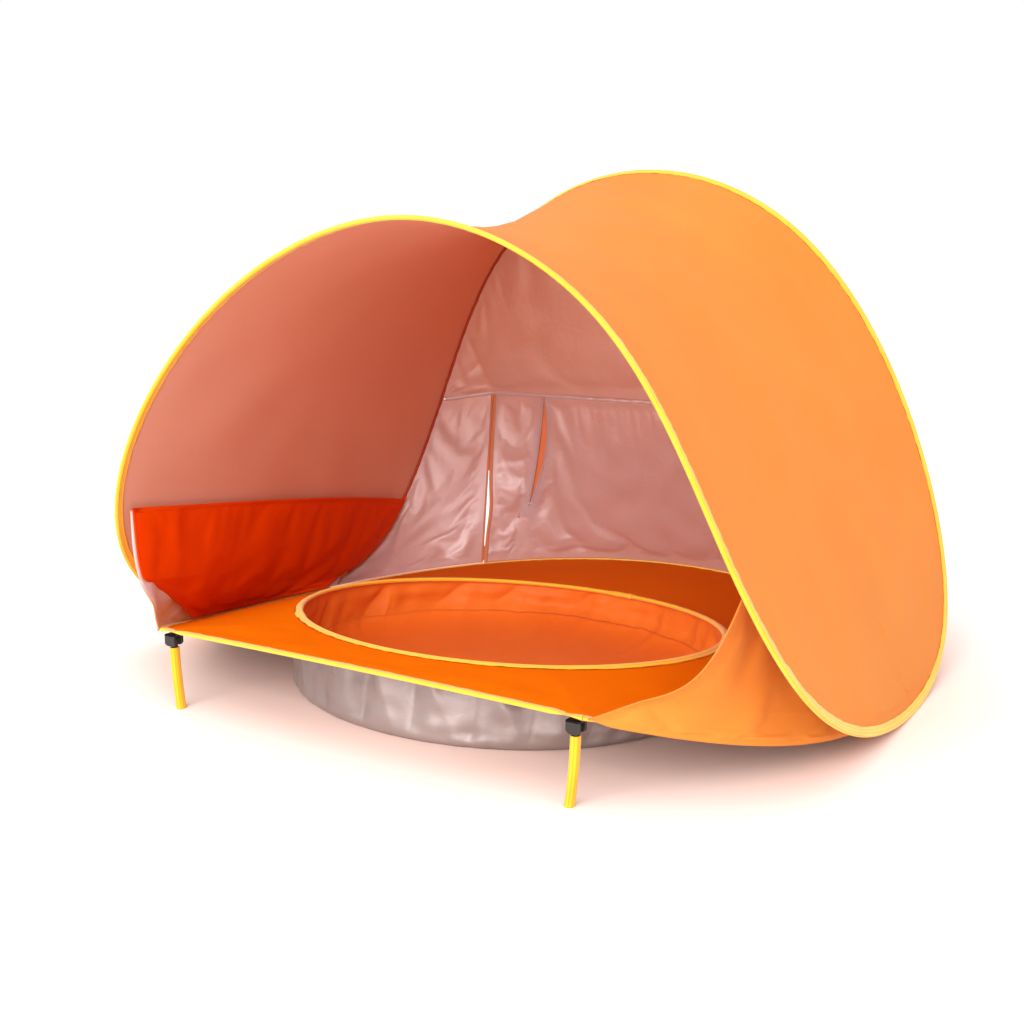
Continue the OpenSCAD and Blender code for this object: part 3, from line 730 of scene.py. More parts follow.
def hem(name, outer, inner, normal, lift, material, thick=0.7, roll=1.1):
    """A folded hem on a sheet: a rounded strip between two lines on its surface."""
    shares = np.array([0.0, 0.12, 0.5, 0.88, 1.0])
    heights = np.array([0.0, roll, roll * 0.7, roll * 0.8, 0.0])
    top = [lerp(outer, inner, s) + normal * (lift + h) for s, h in zip(shares, heights)]
    low = [lerp(outer, inner, s) + normal * (lift - thick) for s in shares[::-1]]
    rows = np.stack(top + low, 1)
    return sweep(name, rows, False, [material])


def ride(obj, body, replaces=()):
    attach(obj, body)
    if replaces:
        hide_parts(*replaces)
    return obj


# ---- bindings ----
HOOP_N, ARC_N, FRONT_N, RING_N = 1280, 760, 190, 540
hoop_t = np.arange(HOOP_N) * 16 / HOOP_N
hoop_fr = hoop_frame(hoop_t)
arc_fr = arc_frame(np.linspace(0, ARC_STEPS, ARC_N))
front_fr = front_frame(np.linspace(0, FRONT_STEPS, FRONT_N))
ring_fr = rim_frame(np.arange(RING_N)[::-1] * LOOP_STEPS / RING_N)
HOOP_REACH, BASE_REACH, RING_REACH = 4.5, 4.0, 1.8
BINDINGS = (
    # piece, CAD node, frame, seed, closed, how far it covers the cloth, thickness
    ("hoop_tape", "canopy_hoop_binding", hoop_fr, 11, True, HOOP_REACH, 1.0),
    ("base_tape_rear", "base_rear_binding", arc_fr, 21, False, BASE_REACH, 0.82),
    ("base_tape_front", "base_front_binding", front_fr, 31, False, BASE_REACH, 0.82),
    ("pool_tape", "pool_ring_binding", ring_fr, 41, True, RING_REACH, 1.0),
)
tapes = {}
for name, node, fr, seed, closed, reach, thick in BINDINGS:
    tapes[name] = sweep(name, tape_rows(fr, seed, closed, reach, thick), closed, [YELLOW])
    ride(tapes[name], "shelter", [node])


def tape_stitches(name, fr, closed, reach):
    paths, normals = [], []
    for side in (-1, 1):
        path = fr[0] + fr[1] * (reach - 1.5) + fr[2] * side * 1.5
        normal = fr[2] * side
        if closed:
            path, normal = np.vstack([path, path[:1]]), np.vstack([normal, normal[:1]])
        paths.append(path)
        normals.append(normal)
    return ride(stitches(name, paths, normals, THREAD), "shelter")


for name, node, fr, seed, closed, reach, thick in BINDINGS:
    tape_stitches(name + "_stitching", fr if closed else [f[6:-6] for f in fr], closed, reach)


def tape_lap(name, fr, seed, reach, grow):
    """Where the two ends of a tape meet, the last folded end lies over the first one."""
    share = np.linspace(0, 1, len(fr[0]))
    rows = tape_rows(fr, seed, False, reach)
    away = rows - (fr[0] - fr[1] * 3.0)[:, None, :]
    swell = grow * (1 + 0.35 * waves(share * 60, 0 * share, 14, seed))
    rows = rows + unit(away) * swell[:, None, None]
    return ride(sweep(name, rows, False, [YELLOW]), "shelter")


def ring_part(theta_from, theta_to, count):
    """Frame along a part of the pool rim."""
    theta = np.linspace(theta_from, theta_to, count)
    way = unit(rim(theta - 0.2) - rim(theta + 0.2))
    centre = np.array([0, POOL_Y, 94.0])
    outwards = unit(across(rim(theta) - centre, way))
    return rim(theta), outwards, unit(np.cross(way, outwards)), 0 * way


tape_lap("pool_tape_lap_rear", ring_part(86, 78, 26), 51, 3.2, 0.9)
tape_lap("pool_tape_lap_front", ring_part(227, 221, 20), 53, 3.4, 0.8)

# ---- canopy ----
COLS, ROWS = 150, 30


def nearest_share(rear, a, target):
    """The place on the canopy's surface that lies nearest to each target point."""
    def at(s, v):
        return canopy_point(s, 1 - v if rear else v)

    s, v = np.minimum(a, 0.97), lerp(0.015, 0.5, a**24)
    for _ in range(40):
        here = at(s, v)
        ds, dv = (at(s + 1e-3, v) - here) / 1e-3, (at(s, v + 1e-3) - here) / 1e-3
        miss = target - here
        ss, vv, sv = (ds * ds).sum(-1) + 1.0, (dv * dv).sum(-1) + 1.0, (ds * dv).sum(-1)
        ms, mv = (miss * ds).sum(-1), (miss * dv).sum(-1)
        det = ss * vv - sv * sv
        s = np.clip(s + np.clip((ms * vv - mv * sv) / det, -0.02, 0.02), 0, 0.985)
        v = np.clip(v + np.clip((mv * ss - ms * sv) / det, -0.03, 0.03), 0, 0.5)
    return s, v


def canopy_grid():
    a = np.linspace(0, 1, COLS + 1)
    q = np.linspace(0, 1, ROWS + 1)[:, None]
    halves = []
    for rear in (False, True):
        t = 8 - 4 * a if rear else 4 * a
        exit_point = hoop_seat(t, EXIT_DEPTH, 0)
        s0, v0 = nearest_share(rear, a, exit_point)
        v0[-1] = 0.5
        s, v = lerp(s0, 0.7 * a, q), lerp(v0, 0.5, q)
        right = canopy_point(s, 1 - v if rear else v)
        reach = np.linalg.norm(right - exit_point, axis=-1)
        right = right + (exit_point - right[0]) * col(1 - smooth(reach / 30))
        right = np.concatenate([hoop_seat(t[None], 1.0, 0), right])
        halves.append(np.concatenate([flip_x(right[:, :0:-1]), right], 1))
    return np.concatenate([halves[0], halves[1][-2::-1]])


cut("canopy", [canopy_grid()], [ORANGE, PAINTED_GLOW_LINING])


def edge_pins(sheet, margins, part=0):
    """1 on the borders that are sewn down, falling to 0 inside: margins are top, bottom, left, right rows."""
    rows, cols = sheet.ids[part].shape
    i, j = np.arange(rows)[:, None], np.arange(cols)[None, :]
    pins = np.zeros((rows, cols))
    for margin, d in zip(margins, (i, rows - 1 - i, j, cols - 1 - j)):
        if margin > 0:
            pins = np.maximum(pins, np.broadcast_to(np.clip(1 - (d - margin + 1) / 3, 0, 1), pins.shape))
    return pins


def surface_uv(sheet, part=0):
    uv = grid_uv(sheet.grids[part])
    return uv[..., 0], uv[..., 1]


# ---- back wall ----
SEAM_T, PANEL_END_T, SLIT_ANGLE, PANEL_END_ANGLE, SLIT_X = 5.9, 4.32, 42.0, 73.6, 370.0
SEAM_Y, SEAM_Z, FLAP_HALF, WALL_SEAT = 400.0, 377.0, 366.0, 4.4
SEAM_END = hoop_seat(SEAM_T, 2.0, WALL_SEAT)


def seam_at(x):
    u = np.maximum(0, (np.abs(x) - SLIT_X) / (SEAM_END[0] - SLIT_X))
    return point(x, lerp(SEAM_Y, SEAM_END[1], u), lerp(SEAM_Z, SEAM_END[2], u))


def upper_grid():
    u = np.linspace(-0.99, 0.99, 111)
    top = hoop_seat(8 - (8 - SEAM_T) * np.abs(u), 2.0, WALL_SEAT)
    top = np.where(col(u) < 0, flip_x(top), top)
    low = seam_at(SEAM_END[0] * u) + np.array([0, 0, 2.0])
    v = np.linspace(0, 1, 46)[:, None, None]
    return lerp(top[None], low[None], v)


def stretched(top, bottom, left, right):
    v = np.linspace(0, 1, len(left))[:, None, None]
    u = np.linspace(0, 1, len(top))[None, :, None]
    corners = lerp(lerp(top[0], top[-1], u), lerp(bottom[0], bottom[-1], u), v)
    return lerp(top[None], bottom[None], v) + lerp(left[:, None], right[:, None], u) - corners


def bent_edge(v, turn, arch, low):
    """Down the rear arch and then along a straight line to the base loop."""
    on_arch = arch(np.minimum(v / turn, 1))
    last = arch(np.array([1.0]))
    return np.where(col(v <= turn) > 0, on_arch, lerp(last, low, col(np.clip((v - turn) / (1 - turn), 0, 1))))


def side_wall_grid():
    rows, cols = np.linspace(0, 1, 61), np.linspace(0, 1, 34)
    slit = lerp(seam_at(SLIT_X), base_seat(SLIT_ANGLE, 0), rows[:, None])
    right = bent_edge(rows, 0.75, lambda w: hoop_seat(lerp(SEAM_T, PANEL_END_T, w), 2.0, WALL_SEAT),
                      base_seat(PANEL_END_ANGLE, 0))
    return stretched(seam_at(lerp(SLIT_X, SEAM_END[0], cols)),
                     base_seat(lerp(SLIT_ANGLE, PANEL_END_ANGLE, cols), 0), slit, right)


FLAP_ROWS = 62
CUT_TOP, CUT_LOW, CUT_END, CUT_WIDTH = -253.0, -317.0, 0.66, 14.0


def edge_gap(v):
    """How far each side of the flap stands open: nearly shut above, widest three quarters of the way down."""
    return 0.6 + 4.2 * np.exp(-((v - 0.67) / 0.13)**2)


def cut_line(v):
    return lerp(CUT_TOP, CUT_LOW, v**1.5)


def cut_gape(v):
    share = np.clip(v / CUT_END, 0, 1)
    return CUT_WIDTH * np.sin(np.pi * share**0.85)**1.1


def flap_point(x, v):
    """A point of the closed flap: x is its place along the seam, v runs from the seam to the base."""
    x, v = np.broadcast_arrays(x, v)
    angle = (SLIT_ANGLE - 0.6) * x / FLAP_HALF
    top = point(x, SEAM_Y + 0 * x, SEAM_Z - 3 + 0 * x)
    low = base_seat(angle, 0) - np.array([0, 0, 1.2])
    return lerp(top, low, col(v))


def flap_grids():
    v = np.linspace(0, 1, FLAP_ROWS)[:, None]
    cut, gape = cut_line(v), cut_gape(v)
    left = np.linspace(0, 1, 19)[None, :]
    right = np.linspace(0, 1, 97)[None, :]
    half = SLIT_X - edge_gap(v)
    x_left = lerp(-half, cut - 0.15 * gape, left)
    x_right = lerp(cut + 0.85 * gape, half, right)
    return flap_point(x_left, v), flap_point(x_right, v)


def backing_grid():
    """The strip sewn behind the cut, which closes it against the light."""
    v = np.linspace(0.004, 0.74, 44)[:, None]
    behind = 1.5 + 3.0 * np.sin(np.pi * v / 0.76)**0.5
    x = cut_line(v) + np.linspace(-17, 22, 12)[None, :]
    return flap_point(x, v) + point(0, behind, 0)


cut("back_wall_upper", [upper_grid()], [ORANGE, SILVER])
cut_pair("back_wall", side_wall_grid(), side_wall_grid(), [ORANGE, SILVER])
cut("vent_flap", flap_grids(), [ORANGE, SILVER])
backing = Sheet("vent_cut_backing", [backing_grid()], [ORANGE, RUST])


def edge_backing(name, side, v_from, v_to):
    """The facing strip behind one side of the flap, where its edge lies against the side wall."""
    v = np.linspace(v_from, v_to, 24)[:, None]
    x = side * (SLIT_X + np.linspace(-14, 3.2, 7)[None, :])
    return Sheet(name, [flap_point(x, v) + np.array([0, 2.2, 0])], [ORANGE, RUST])


edge_backings = [edge_backing(f"vent_flap_facing_{word}_{part}", side, *span)
                 for side, word in ((-1, "left"), (1, "right"))
                 for part, span in (("top", (0.01, 0.45)), ("low", (0.9, 0.985)))]

# ---- side skirts and pockets ----
SKIRT_T0, SKIRT_T1, SKIRT_LOW_T = 2.2, 5.25, 4.4
SKIRT_REAR_ANGLE, SKIRT_FRONT_ANGLE = 73.0, CORNER_ANGLE - 0.4


def free_edge(w):
    w = col(w)
    p, s = hoop_seat(SKIRT_T0, 14.0, 5.5), base_seat(SKIRT_FRONT_ANGLE, 0)
    q, r = np.array([464, -462, 130.0]), np.array([430, -457, 152.0])
    return bezier(p, q, r, s, w)


def inner_line(u, depth, inside):
    """A line across the inside of the canopy, from the front arch to the rear arch."""
    a = lerp(SKIRT_T0 / 4, (8 - SKIRT_T1) / 4, u)
    v = lerp(0.04, 0.96, u)
    p = canopy_point(a, v)
    n = unit(np.cross(canopy_point(a, v + 0.01) - p, canopy_point(a + 0.01, v) - p))
    n = np.where(n[:, :1] < 0, n, -n)
    line = p + n * inside
    line[0], line[-1] = hoop_seat(SKIRT_T0, depth, inside), hoop_seat(SKIRT_T1, depth, inside)
    return line


def rear_edge(v, depth, inside, angle):
    return bent_edge(v, 0.75, lambda w: hoop_seat(lerp(SKIRT_T1, SKIRT_LOW_T, w), depth, inside),
                     base_seat(angle, depth - 14.0))


WIDEST, WIDEST_Z, LEAN_IN = 566, 20, 0.22


def kept_inside(grid, margin):
    """Keeps a side panel inside the canopy, which leans inwards above its widest place."""
    grid = grid.copy()
    limit = WIDEST - margin - LEAN_IN * np.maximum(0, grid[..., 2] - WIDEST_Z)
    grid[..., 0] = np.minimum(grid[..., 0], limit)
    return grid


def skirt_grid():
    """The skirt, which ends outside the base tape at the front and on top of it where the canopy covers it."""
    rows, cols = np.linspace(0, 1, 53), np.linspace(0, 1, 97)
    angle = lerp(SKIRT_FRONT_ANGLE, SKIRT_REAR_ANGLE, cols)
    panel = kept_inside(stretched(
        inner_line(cols, 14.0, 5.5), base_seat(angle, 0), free_edge(rows),
        rear_edge(rows, 14.0, 5.5, SKIRT_REAR_ANGLE)), 6)
    inwards = base_in(angle)
    up = unit(np.cross(base_dir(angle), inwards))
    wrap = col(smooth((angle - 90) / 9))
    tip = col(smooth((CORNER_ANGLE - angle) / 3.5))
    over = [base(angle) + lerp(up * SEAT, inwards * depth + up * lerp(1.5, height, tip), wrap)
            for depth, height in ((-10.2, 3.6), (-10.7, 1.5), (-10.8, -0.9), (-10.5, -3.2))]
    slack = smooth((rows - 0.7) / 0.3)[:, None, None] * (over[0] - panel[-1])[None]
    return np.concatenate([(panel + slack)[1:], np.stack(over[1:])])


# Where each pocket's front edge lies from the skirt's free edge: the hidden one starts further back
POCKET_SHIFT = np.array([-5, 2, 2.0])
HIDDEN_SHIFT = np.array([2, 38, 2.0])
POCKET_FRONT_ANGLE, POCKET_REAR_ANGLE = 116.0, 76.0


def pocket_front(v, shift, start):
    half, knee_at = 0.6, 0.42
    w = col(np.maximum(0, (v - half) / (1 - half)))
    knee = free_edge(knee_at) + shift
    upper = lerp(hoop_seat(SKIRT_T0, start, 13.0), free_edge(knee_at * v / half) + shift,
                 col(np.minimum(1, 3 * v)))
    lower = lerp(knee, base_seat(POCKET_FRONT_ANGLE, 8.0), w) + shift * np.sin(np.pi * w)
    return np.where(col(v <= half) > 0, upper, lower)


def pocket_grid(shift, start):
    rows, cols = np.linspace(0, 1, 47), np.linspace(0, 1, 77)
    flat = kept_inside(stretched(
        inner_line(cols, 20.0, 13.0), base_seat(lerp(POCKET_FRONT_ANGLE, POCKET_REAR_ANGLE, cols), 8.0),
        pocket_front(rows, shift, start), rear_edge(rows, 20.0, 13.0, POCKET_REAR_ANGLE)), 13)
    belly = 14 * np.sin(np.pi * cols)[None, :] * np.sin(np.radians(20 + 160 * rows))[:, None]
    return flat + np.array([-1, 0, 0.1]) * col(belly)


cut_pair("skirt", skirt_grid(), skirt_grid(), [ORANGE, SILVER])
cut_pair("pocket", pocket_grid(HIDDEN_SHIFT, 34.0), pocket_grid(POCKET_SHIFT, 12.0), [POCKET, POCKET])

# ---- floor and pool ----
LOOP_N = 432
loop_k = np.arange(LOOP_N) * LOOP_STEPS / LOOP_N


def floor_grid():
    outer, inner = loop_frame(loop_k), rim_frame(loop_k)
    a = outer[0] + outer[1] * EXIT_DEPTH + outer[3]
    b = inner[0] + inner[1] * EXIT_DEPTH
    rows = [outer[0] + outer[1] + outer[3]]
    rows += [lerp(a, b, u) for u in np.linspace(0, 1, 19)]
    rows += [inner[0] + inner[1]]
    return np.stack(rows)


BOTTOM_W, BOTTOM_D, BOTTOM_Y = 313.0, 253.0, -177.0
POOL_N, POOL_ROWS = 540, 27


# Main folds of the pool wall: place on the rim in degrees, how far each opens, how deep it is
POOL_FOLDS = [
    (50, 10, 9), (66, 10, 12), (91, 12, 13), (114, 13, 14), (131, 15, 16), (158, 11, 14), (182, 8, 9),
    (201, 5, 7), (213, -7, 7), (230, 7, 8), (247, 7, 9), (262, 10, 14), (276, 12, 12), (291, 13, 13),
    (305, 9, 9), (320, -10, 9), (337, 9, 8), (354, -9, 9), (12, 9, 8), (31, 9, 9)]


def pool_folds(theta, drop):
    """Gathers that start as sharp pleats under the rim and open downwards into slanting facets."""
    total = 0.0
    for place, width, height in POOL_FOLDS:
        off = ((theta[None, :] - place + 180) % 360 - 180) * np.sign(width)
        u = off / (1.0 + abs(width) * drop)
        facet = np.where(u < 0, 0.12 * np.exp(np.maximum(u, -9) * 5),
                         np.where(u < 1, u, np.exp(-(u - 1) * 0.75)))
        pleat = 2.6 * np.exp(-(off / 0.9)**2) * np.exp(-drop / 0.18) * smooth(drop / 0.05)
        total = total + height * (facet - 0.45) * smooth(drop / 0.3) * smooth((1 - drop) / 0.25) * (
            np.exp(-np.abs(off) / 16)) + pleat
    return total


def pool_grid():
    theta = np.arange(POOL_N) * 360 / POOL_N
    c, s = np.cos(np.radians(theta)), np.sin(np.radians(theta))
    top = rim(theta) - np.array([0, 0, 2.1])
    low = point((BOTTOM_W + 1.2) * c, BOTTOM_Y + (BOTTOM_D + 1.2) * s, 0 * c + CLOTH_T / 2)
    drop = np.linspace(0, 1, POOL_ROWS)[:, None]
    bulge = np.interp(drop, [0, 0.25, 0.5, 0.75, 0.9, 0.97, 1], [-1, 4, 10, 14, 12, 7, 0])
    bulge = bulge + pool_folds(theta, drop)
    plan = lerp(top[None], low[None], col(drop**3))
    plan[..., 2] = lerp(top[None, :, 2], low[None, :, 2], drop)
    return plan + point(c, s, 0 * c)[None] * col(bulge)


def bottom_grid():
    r = np.linspace(0, 1, 25)[:, None]**0.8
    angle = np.linspace(0, 2 * np.pi, POOL_N + 1)[None, :-1]
    return point(BOTTOM_W * r * np.cos(angle), BOTTOM_Y + BOTTOM_D * r * np.sin(angle), 0.6 + 0 * r * angle)


def liner_grid(wall):
    """The orange liner: flat in the middle, then curving up into the wall and its folds."""
    angle = np.linspace(0, 2 * np.pi, POOL_N + 1)[:-1]
    inwards = -point(np.cos(angle), np.sin(angle), 0 * angle)
    end = wall[17] + inwards * 1.3
    rise = unit(wall[14] - wall[17])

    def flat_part(share):
        p = point(BOTTOM_W * share * np.cos(angle), BOTTOM_Y + BOTTOM_D * share * np.sin(angle),
                  2.2 + 0 * angle)
        return p + point(0, 0, 1.2 * np.abs(waves(p[..., 0], p[..., 1], 130, 91)) * share)

    rows = [flat_part(share) for share in np.linspace(0, 0.6, 13)]
    p, q, r = flat_part(0.6), flat_part(0.93), end - rise * 32
    r[:, 2] = np.maximum(r[:, 2], 5.0)
    for w in np.linspace(0, 1, 20)[1:]:
        rows.append(bezier(p, q, r, end, w))
    return np.stack(rows)


cut("floor", [floor_grid()], [FLOOR, BAG], wrap=True, way=UP)
cut("pool_wall", [pool_grid()], [BAG, LINER], wrap=True, way="round")
cut("pool_bottom", [bottom_grid()], [BAG, BAG], wrap=True, thick=1.0, way=UP)

# ---- how each sheet buckles ----
BUCKLING = (
    # sheet, rows pinned at its top (2 at its other edges), slack, most travel, bending stiffness
    ("back_wall_upper", 2, 0.010, 6.0, 0.3),
    ("back_wall_right", 2, 0.018, 8.0, 0.2),
    ("back_wall_left", 2, 0.018, 8.0, 0.2),
    ("skirt_right", 3, 0.022, 4.0, 0.2),
    ("skirt_left", 3, 0.022, 4.0, 0.2),
    ("pocket_right", 2, 0.010, 4.0, 0.3),
    ("pocket_left", 2, 0.010, 4.0, 0.3),
)
# Sheets that are stretched tight or shaped by their own folds: sheet, rows pinned at its top and bottom,
# seed, size and height of their ripple
TAUT = (("canopy", 3, 140, 260, 0.9), ("floor", 3, 141, 170, 0.6), ("pool_wall", 1, 142, 55, 0.9))


def start_ripple(sheet, pins, seed, size, height):
    """A little unevenness, so that the cloth has a side to buckle to."""
    values = []
    for part in range(len(sheet.grids)):
        x, y = surface_uv(sheet, part)
        values.append(waves(x, y, size, seed + part))
    sheet.push(sheet.field(values) * height * (1 - pins))


jobs = []
for number, (name, top_rows, slack, cap, bend) in enumerate(BUCKLING):
    pins = sheets[name].field([edge_pins(sheets[name], (top_rows, 2, 2, 2))])
    start_ripple(sheets[name], pins, 100 + number, 95, 1.0)
    jobs.append((sheets[name], pins, slack, cap, bend))
for name, pinned, seed, size, height in TAUT:
    pins = sheets[name].field([edge_pins(sheets[name], (pinned, pinned, 0, 0))])
    start_ripple(sheets[name], pins, seed, size, height)
flap = sheets["vent_flap"]
flap_pins = flap.field([edge_pins(flap, (2, 2, 2, 2), part) for part in (0, 1)])
start_ripple(flap, flap_pins, 150, 95, 1.0)
jobs.append((flap, flap_pins, 0.016, 8.0, 0.2))
simulate(jobs, 24)

# ---- hems and seams on the finished sheets ----
def inset(grid, width, edge):
    """The line that lies width inside one edge of a grid, measured along the cloth."""
    g = {"top": grid.transpose(1, 0, 2), "low": grid[::-1].transpose(1, 0, 2),
         "first": grid, "last": grid[:, ::-1]}[edge]
    out = np.empty((len(g), 3))
    for i, line in enumerate(g):
        s = run(line)
        out[i] = [np.interp(width, s, line[:, k]) for k in range(3)]
    return out


def part_normals(sheet, part):
    return sheet.normals()[sheet.ids[part]]


def edge_line(array, edge):
    return {"top": array[0], "low": array[-1], "first": array[:, 0], "last": array[:, -1]}[edge]


def hemmed(name, sheet, part, edge, side, width, material, thread, span=(0.0, 1.0), roll=0.9):
    """A hem and its row of stitches along one edge of a sheet. side 1 is the outside, -1 the inside."""
    grid = sheet.grids[part]
    outer, normal = edge_line(grid, edge), edge_line(part_normals(sheet, part), edge) * side
    inner = inset(grid, width, edge)
    first, last = int(span[0] * (len(outer) - 1)), int(span[1] * (len(outer) - 1)) + 1
    outer, inner, normal = outer[first:last], inner[first:last], normal[first:last]
    strip = hem(name, outer, inner, normal, 0.3, material, roll=roll)
    line = lerp(outer, inner, 0.82) + normal * (0.3 + roll)
    thread_obj = stitches(name + "_stitching", [line], [normal], thread, pitch=3.2, thread=0.4)
    return [strip, thread_obj]


def seam_strip(t0, t1):
    """The seam allowance that covers the hoop's tape on the inside, where the back wall is sewn on."""
    t = np.linspace(t0, t1, int(abs(t1 - t0) * 80))
    s = np.arange(len(t)) * 4.0
    ripple = 0.25 * waves(s, 0 * s, 30, 71)
    depths, insides = (0.2, 2.4, 4.6, 6.6, 8.6), (5.0, 4.9, 4.3, 3.5, 2.6)
    rows = [hoop_seat(t, d + 0 * t, i + ripple) for d, i in zip(depths, insides)]
    sheet = Sheet("back_arch_seam", [np.stack(rows)], [MAROON, MAROON], thick=0.7)
    inner = rows[3] - hoop_out(t) * 0.5
    return [sheet.close(0),
            stitches("back_arch_seam_stitching", [inner], [-hoop_out(t)], PALE_THREAD, thread=0.4)]


hems = {name: [] for name in sheets}


def add_hem(sheet_name, name, *how, **rest):
    hems[sheet_name] += hemmed(name, sheets[sheet_name], *how, **rest)


CUT_SPAN = (0.0, CUT_END)
for word in ("left", "right"):
    add_hem("pocket_" + word, f"pocket_{word}_hem", 0, "top", -1, 8.0, POCKET, ORANGE_THREAD)
for word in ("left", "right"):
    add_hem("pocket_" + word, f"pocket_{word}_front_hem", 0, "first", -1, 6.0, POCKET, ORANGE_THREAD)
for word in ("left", "right"):
    add_hem("skirt_" + word, f"skirt_{word}_hem", 0, "first", 1, 3.5, ORANGE, PALE_ORANGE_THREAD)
add_hem("vent_flap", "vent_flap_edge_left", 0, "first", -1, 7.5, RUST, PALE_THREAD, roll=0.7)
add_hem("vent_flap", "vent_flap_edge_right", 1, "last", -1, 7.5, RUST, PALE_THREAD, roll=0.7)
add_hem("vent_flap", "vent_cut_left", 0, "last", -1, 4.0, SILVER, PALE_THREAD, CUT_SPAN, roll=0.6)
add_hem("vent_flap", "vent_cut_right", 1, "first", -1, 4.5, SILVER, PALE_THREAD, CUT_SPAN, roll=0.8)
for word in ("right", "left"):
    add_hem("back_wall_" + word, f"back_wall_{word}_edge", 0, "first", -1, 4.5, RUST, PALE_THREAD, roll=0.7)
arch_seam = seam_strip(SEAM_T - 1.45, 16 - SEAM_T + 1.45)


def cross_seam():
    """The felled seam between the upper wall and the panels below it."""
    x = np.linspace(-0.985, 0.985, 330) * SEAM_END[0]
    zero = 0 * x
    line = seam_at(x) + point(zero, 0.35 * waves(x, zero, 34, 81), 0.4 * waves(x, zero, 60, 82))
    section = ((-0.8, 3.4), (-1.3, 3.0), (-1.4, 0), (-1.3, -3.2), (-0.8, -3.6))
    rows = [line + np.array([0, y, z]) for y, z in section]
    sheet = Sheet("back_seam", [np.stack(rows)], [SILVER, SILVER], thick=0.8, way=(0, 1, 0))
    lines = [rows[1] - np.array([0, 0.4, 0.8]), rows[3] - np.array([0, 0.4, -0.8])]
    normal = point(zero, zero - 1, zero)
    return sheet.close(0), stitches("back_seam_stitching", lines, [normal, normal], PALE_THREAD, thread=0.4)


wall_seam = cross_seam()

# ---- close every sheet and seat it on its body ----
cut("pool_liner", [liner_grid(sheets["pool_wall"].grids[0])], [LINER, LINER], wrap=True, way=UP)


def finish_sheet(name, trim=(), nodes=None, body="shelter", levels=1):
    """Closes a sheet and seats it on its body with its trim."""
    obj = sheets[name].close(levels)
    ride(obj, body, [name] if nodes is None else nodes)
    for piece in trim:
        if "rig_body" not in piece:
            ride(piece, body)


finish_sheet("canopy", [tapes["hoop_tape"]])
finish_sheet("back_wall_upper", arch_seam)
for key in ("back_wall_right", "back_wall_left"):
    finish_sheet(key, hems[key])
finish_sheet("vent_flap",
             [*hems["vent_flap"], backing.close(1), *(b.close(0) for b in edge_backings)], body="vent")
for key in ("skirt_right", "skirt_left"):
    finish_sheet(key, hems[key])
for word in ("right", "left"):
    finish_sheet("pocket_" + word,
                 hems["pocket_" + word])
finish_sheet("floor",
             [tapes[t] for t in ("base_tape_rear", "base_tape_front", "pool_tape")], ["floor_panel"])
finish_sheet("pool_wall")
finish_sheet("pool_bottom", levels=0)
finish_sheet("pool_liner", nodes=[], levels=0)
ride(wall_seam[0], "shelter", ["back_seam_tape"])
ride(wall_seam[1], "shelter")

# ---- legs ----
PIVOT = np.array([CORNER[0] - 11, CORNER[1] + 3, 101.0])
FOOT_LEAN, SLEEVE_BOW, SLEEVE_RIPPLE = 8.0, 1.6, 0.012


def leg_sections(side, stops, sizes):
    """Rings of a flattened round tube down the leg: stops are shares from the pivot to the ground."""
    angle = np.linspace(0, 2 * np.pi, 29)[:-1]
    foot = PIVOT * np.array([1, 1, 0]) - np.array([FOOT_LEAN, 0, 0])
    rows = []
    for i, (share, (half_x, half_y)) in enumerate(zip(stops, sizes)):
        centre = lerp(PIVOT, foot, share) + np.array([SLEEVE_BOW * math.sin(math.pi * share), 0, 0])
        c, s = np.cos(angle), np.sin(angle)
        squared = (np.abs(c)**4 + np.abs(s)**4)**-0.25 * 0.25 + 0.75
        fold = 1 + SLEEVE_RIPPLE * np.sin(3 * angle + 9 * share) * math.sin(math.pi * share * 3)
        rows.append(centre + point(half_x * c * squared * fold, half_y * s * squared * fold, 0 * c))
    rows = np.stack(rows)
    return rows if side > 0 else flip_x(rows)[:, ::-1]


def tube(name, rows, thick, material):
    """A tube with walls: it runs down the outside and back up the inside."""
    centre = rows.mean(1, keepdims=True)
    reach = np.linalg.norm(rows - centre, axis=-1, keepdims=True)
    inner = centre + (rows - centre) * (reach - thick) / reach
    both = np.concatenate([rows, inner[::-1]])
    return sweep(name, both, True, [material])


for side, word in ((1, "right"), (-1, "left")):
    stops = np.concatenate([[0.105, 0.115], np.linspace(0.15, 0.95, 34), [0.965, 0.975, 0.99, 0.9995]])
    sizes = [(6.0, 6.9)] * 2 + [(6.15, 7.1)] * 34 + [(6.2, 7.2), (6.6, 7.6), (6.6, 7.6), (6.4, 7.4)]
    sleeve = tube("leg_sleeve_tube_" + word, leg_sections(side, stops, sizes), 0.9, SLEEVE)
    body = "leg_" + word
    ride(sleeve, body, ["leg_sleeve_" + word])
    line = leg_sections(side, stops[2:-2], sizes[2:-2])
    seam = line[:, 15 if side > 0 else 12]
    normal = unit(seam - line.mean(1))
    ride(stitches("leg_sleeve_stitching_" + word, [seam], [normal], THREAD, pitch=3.0, thread=0.35),
         body)

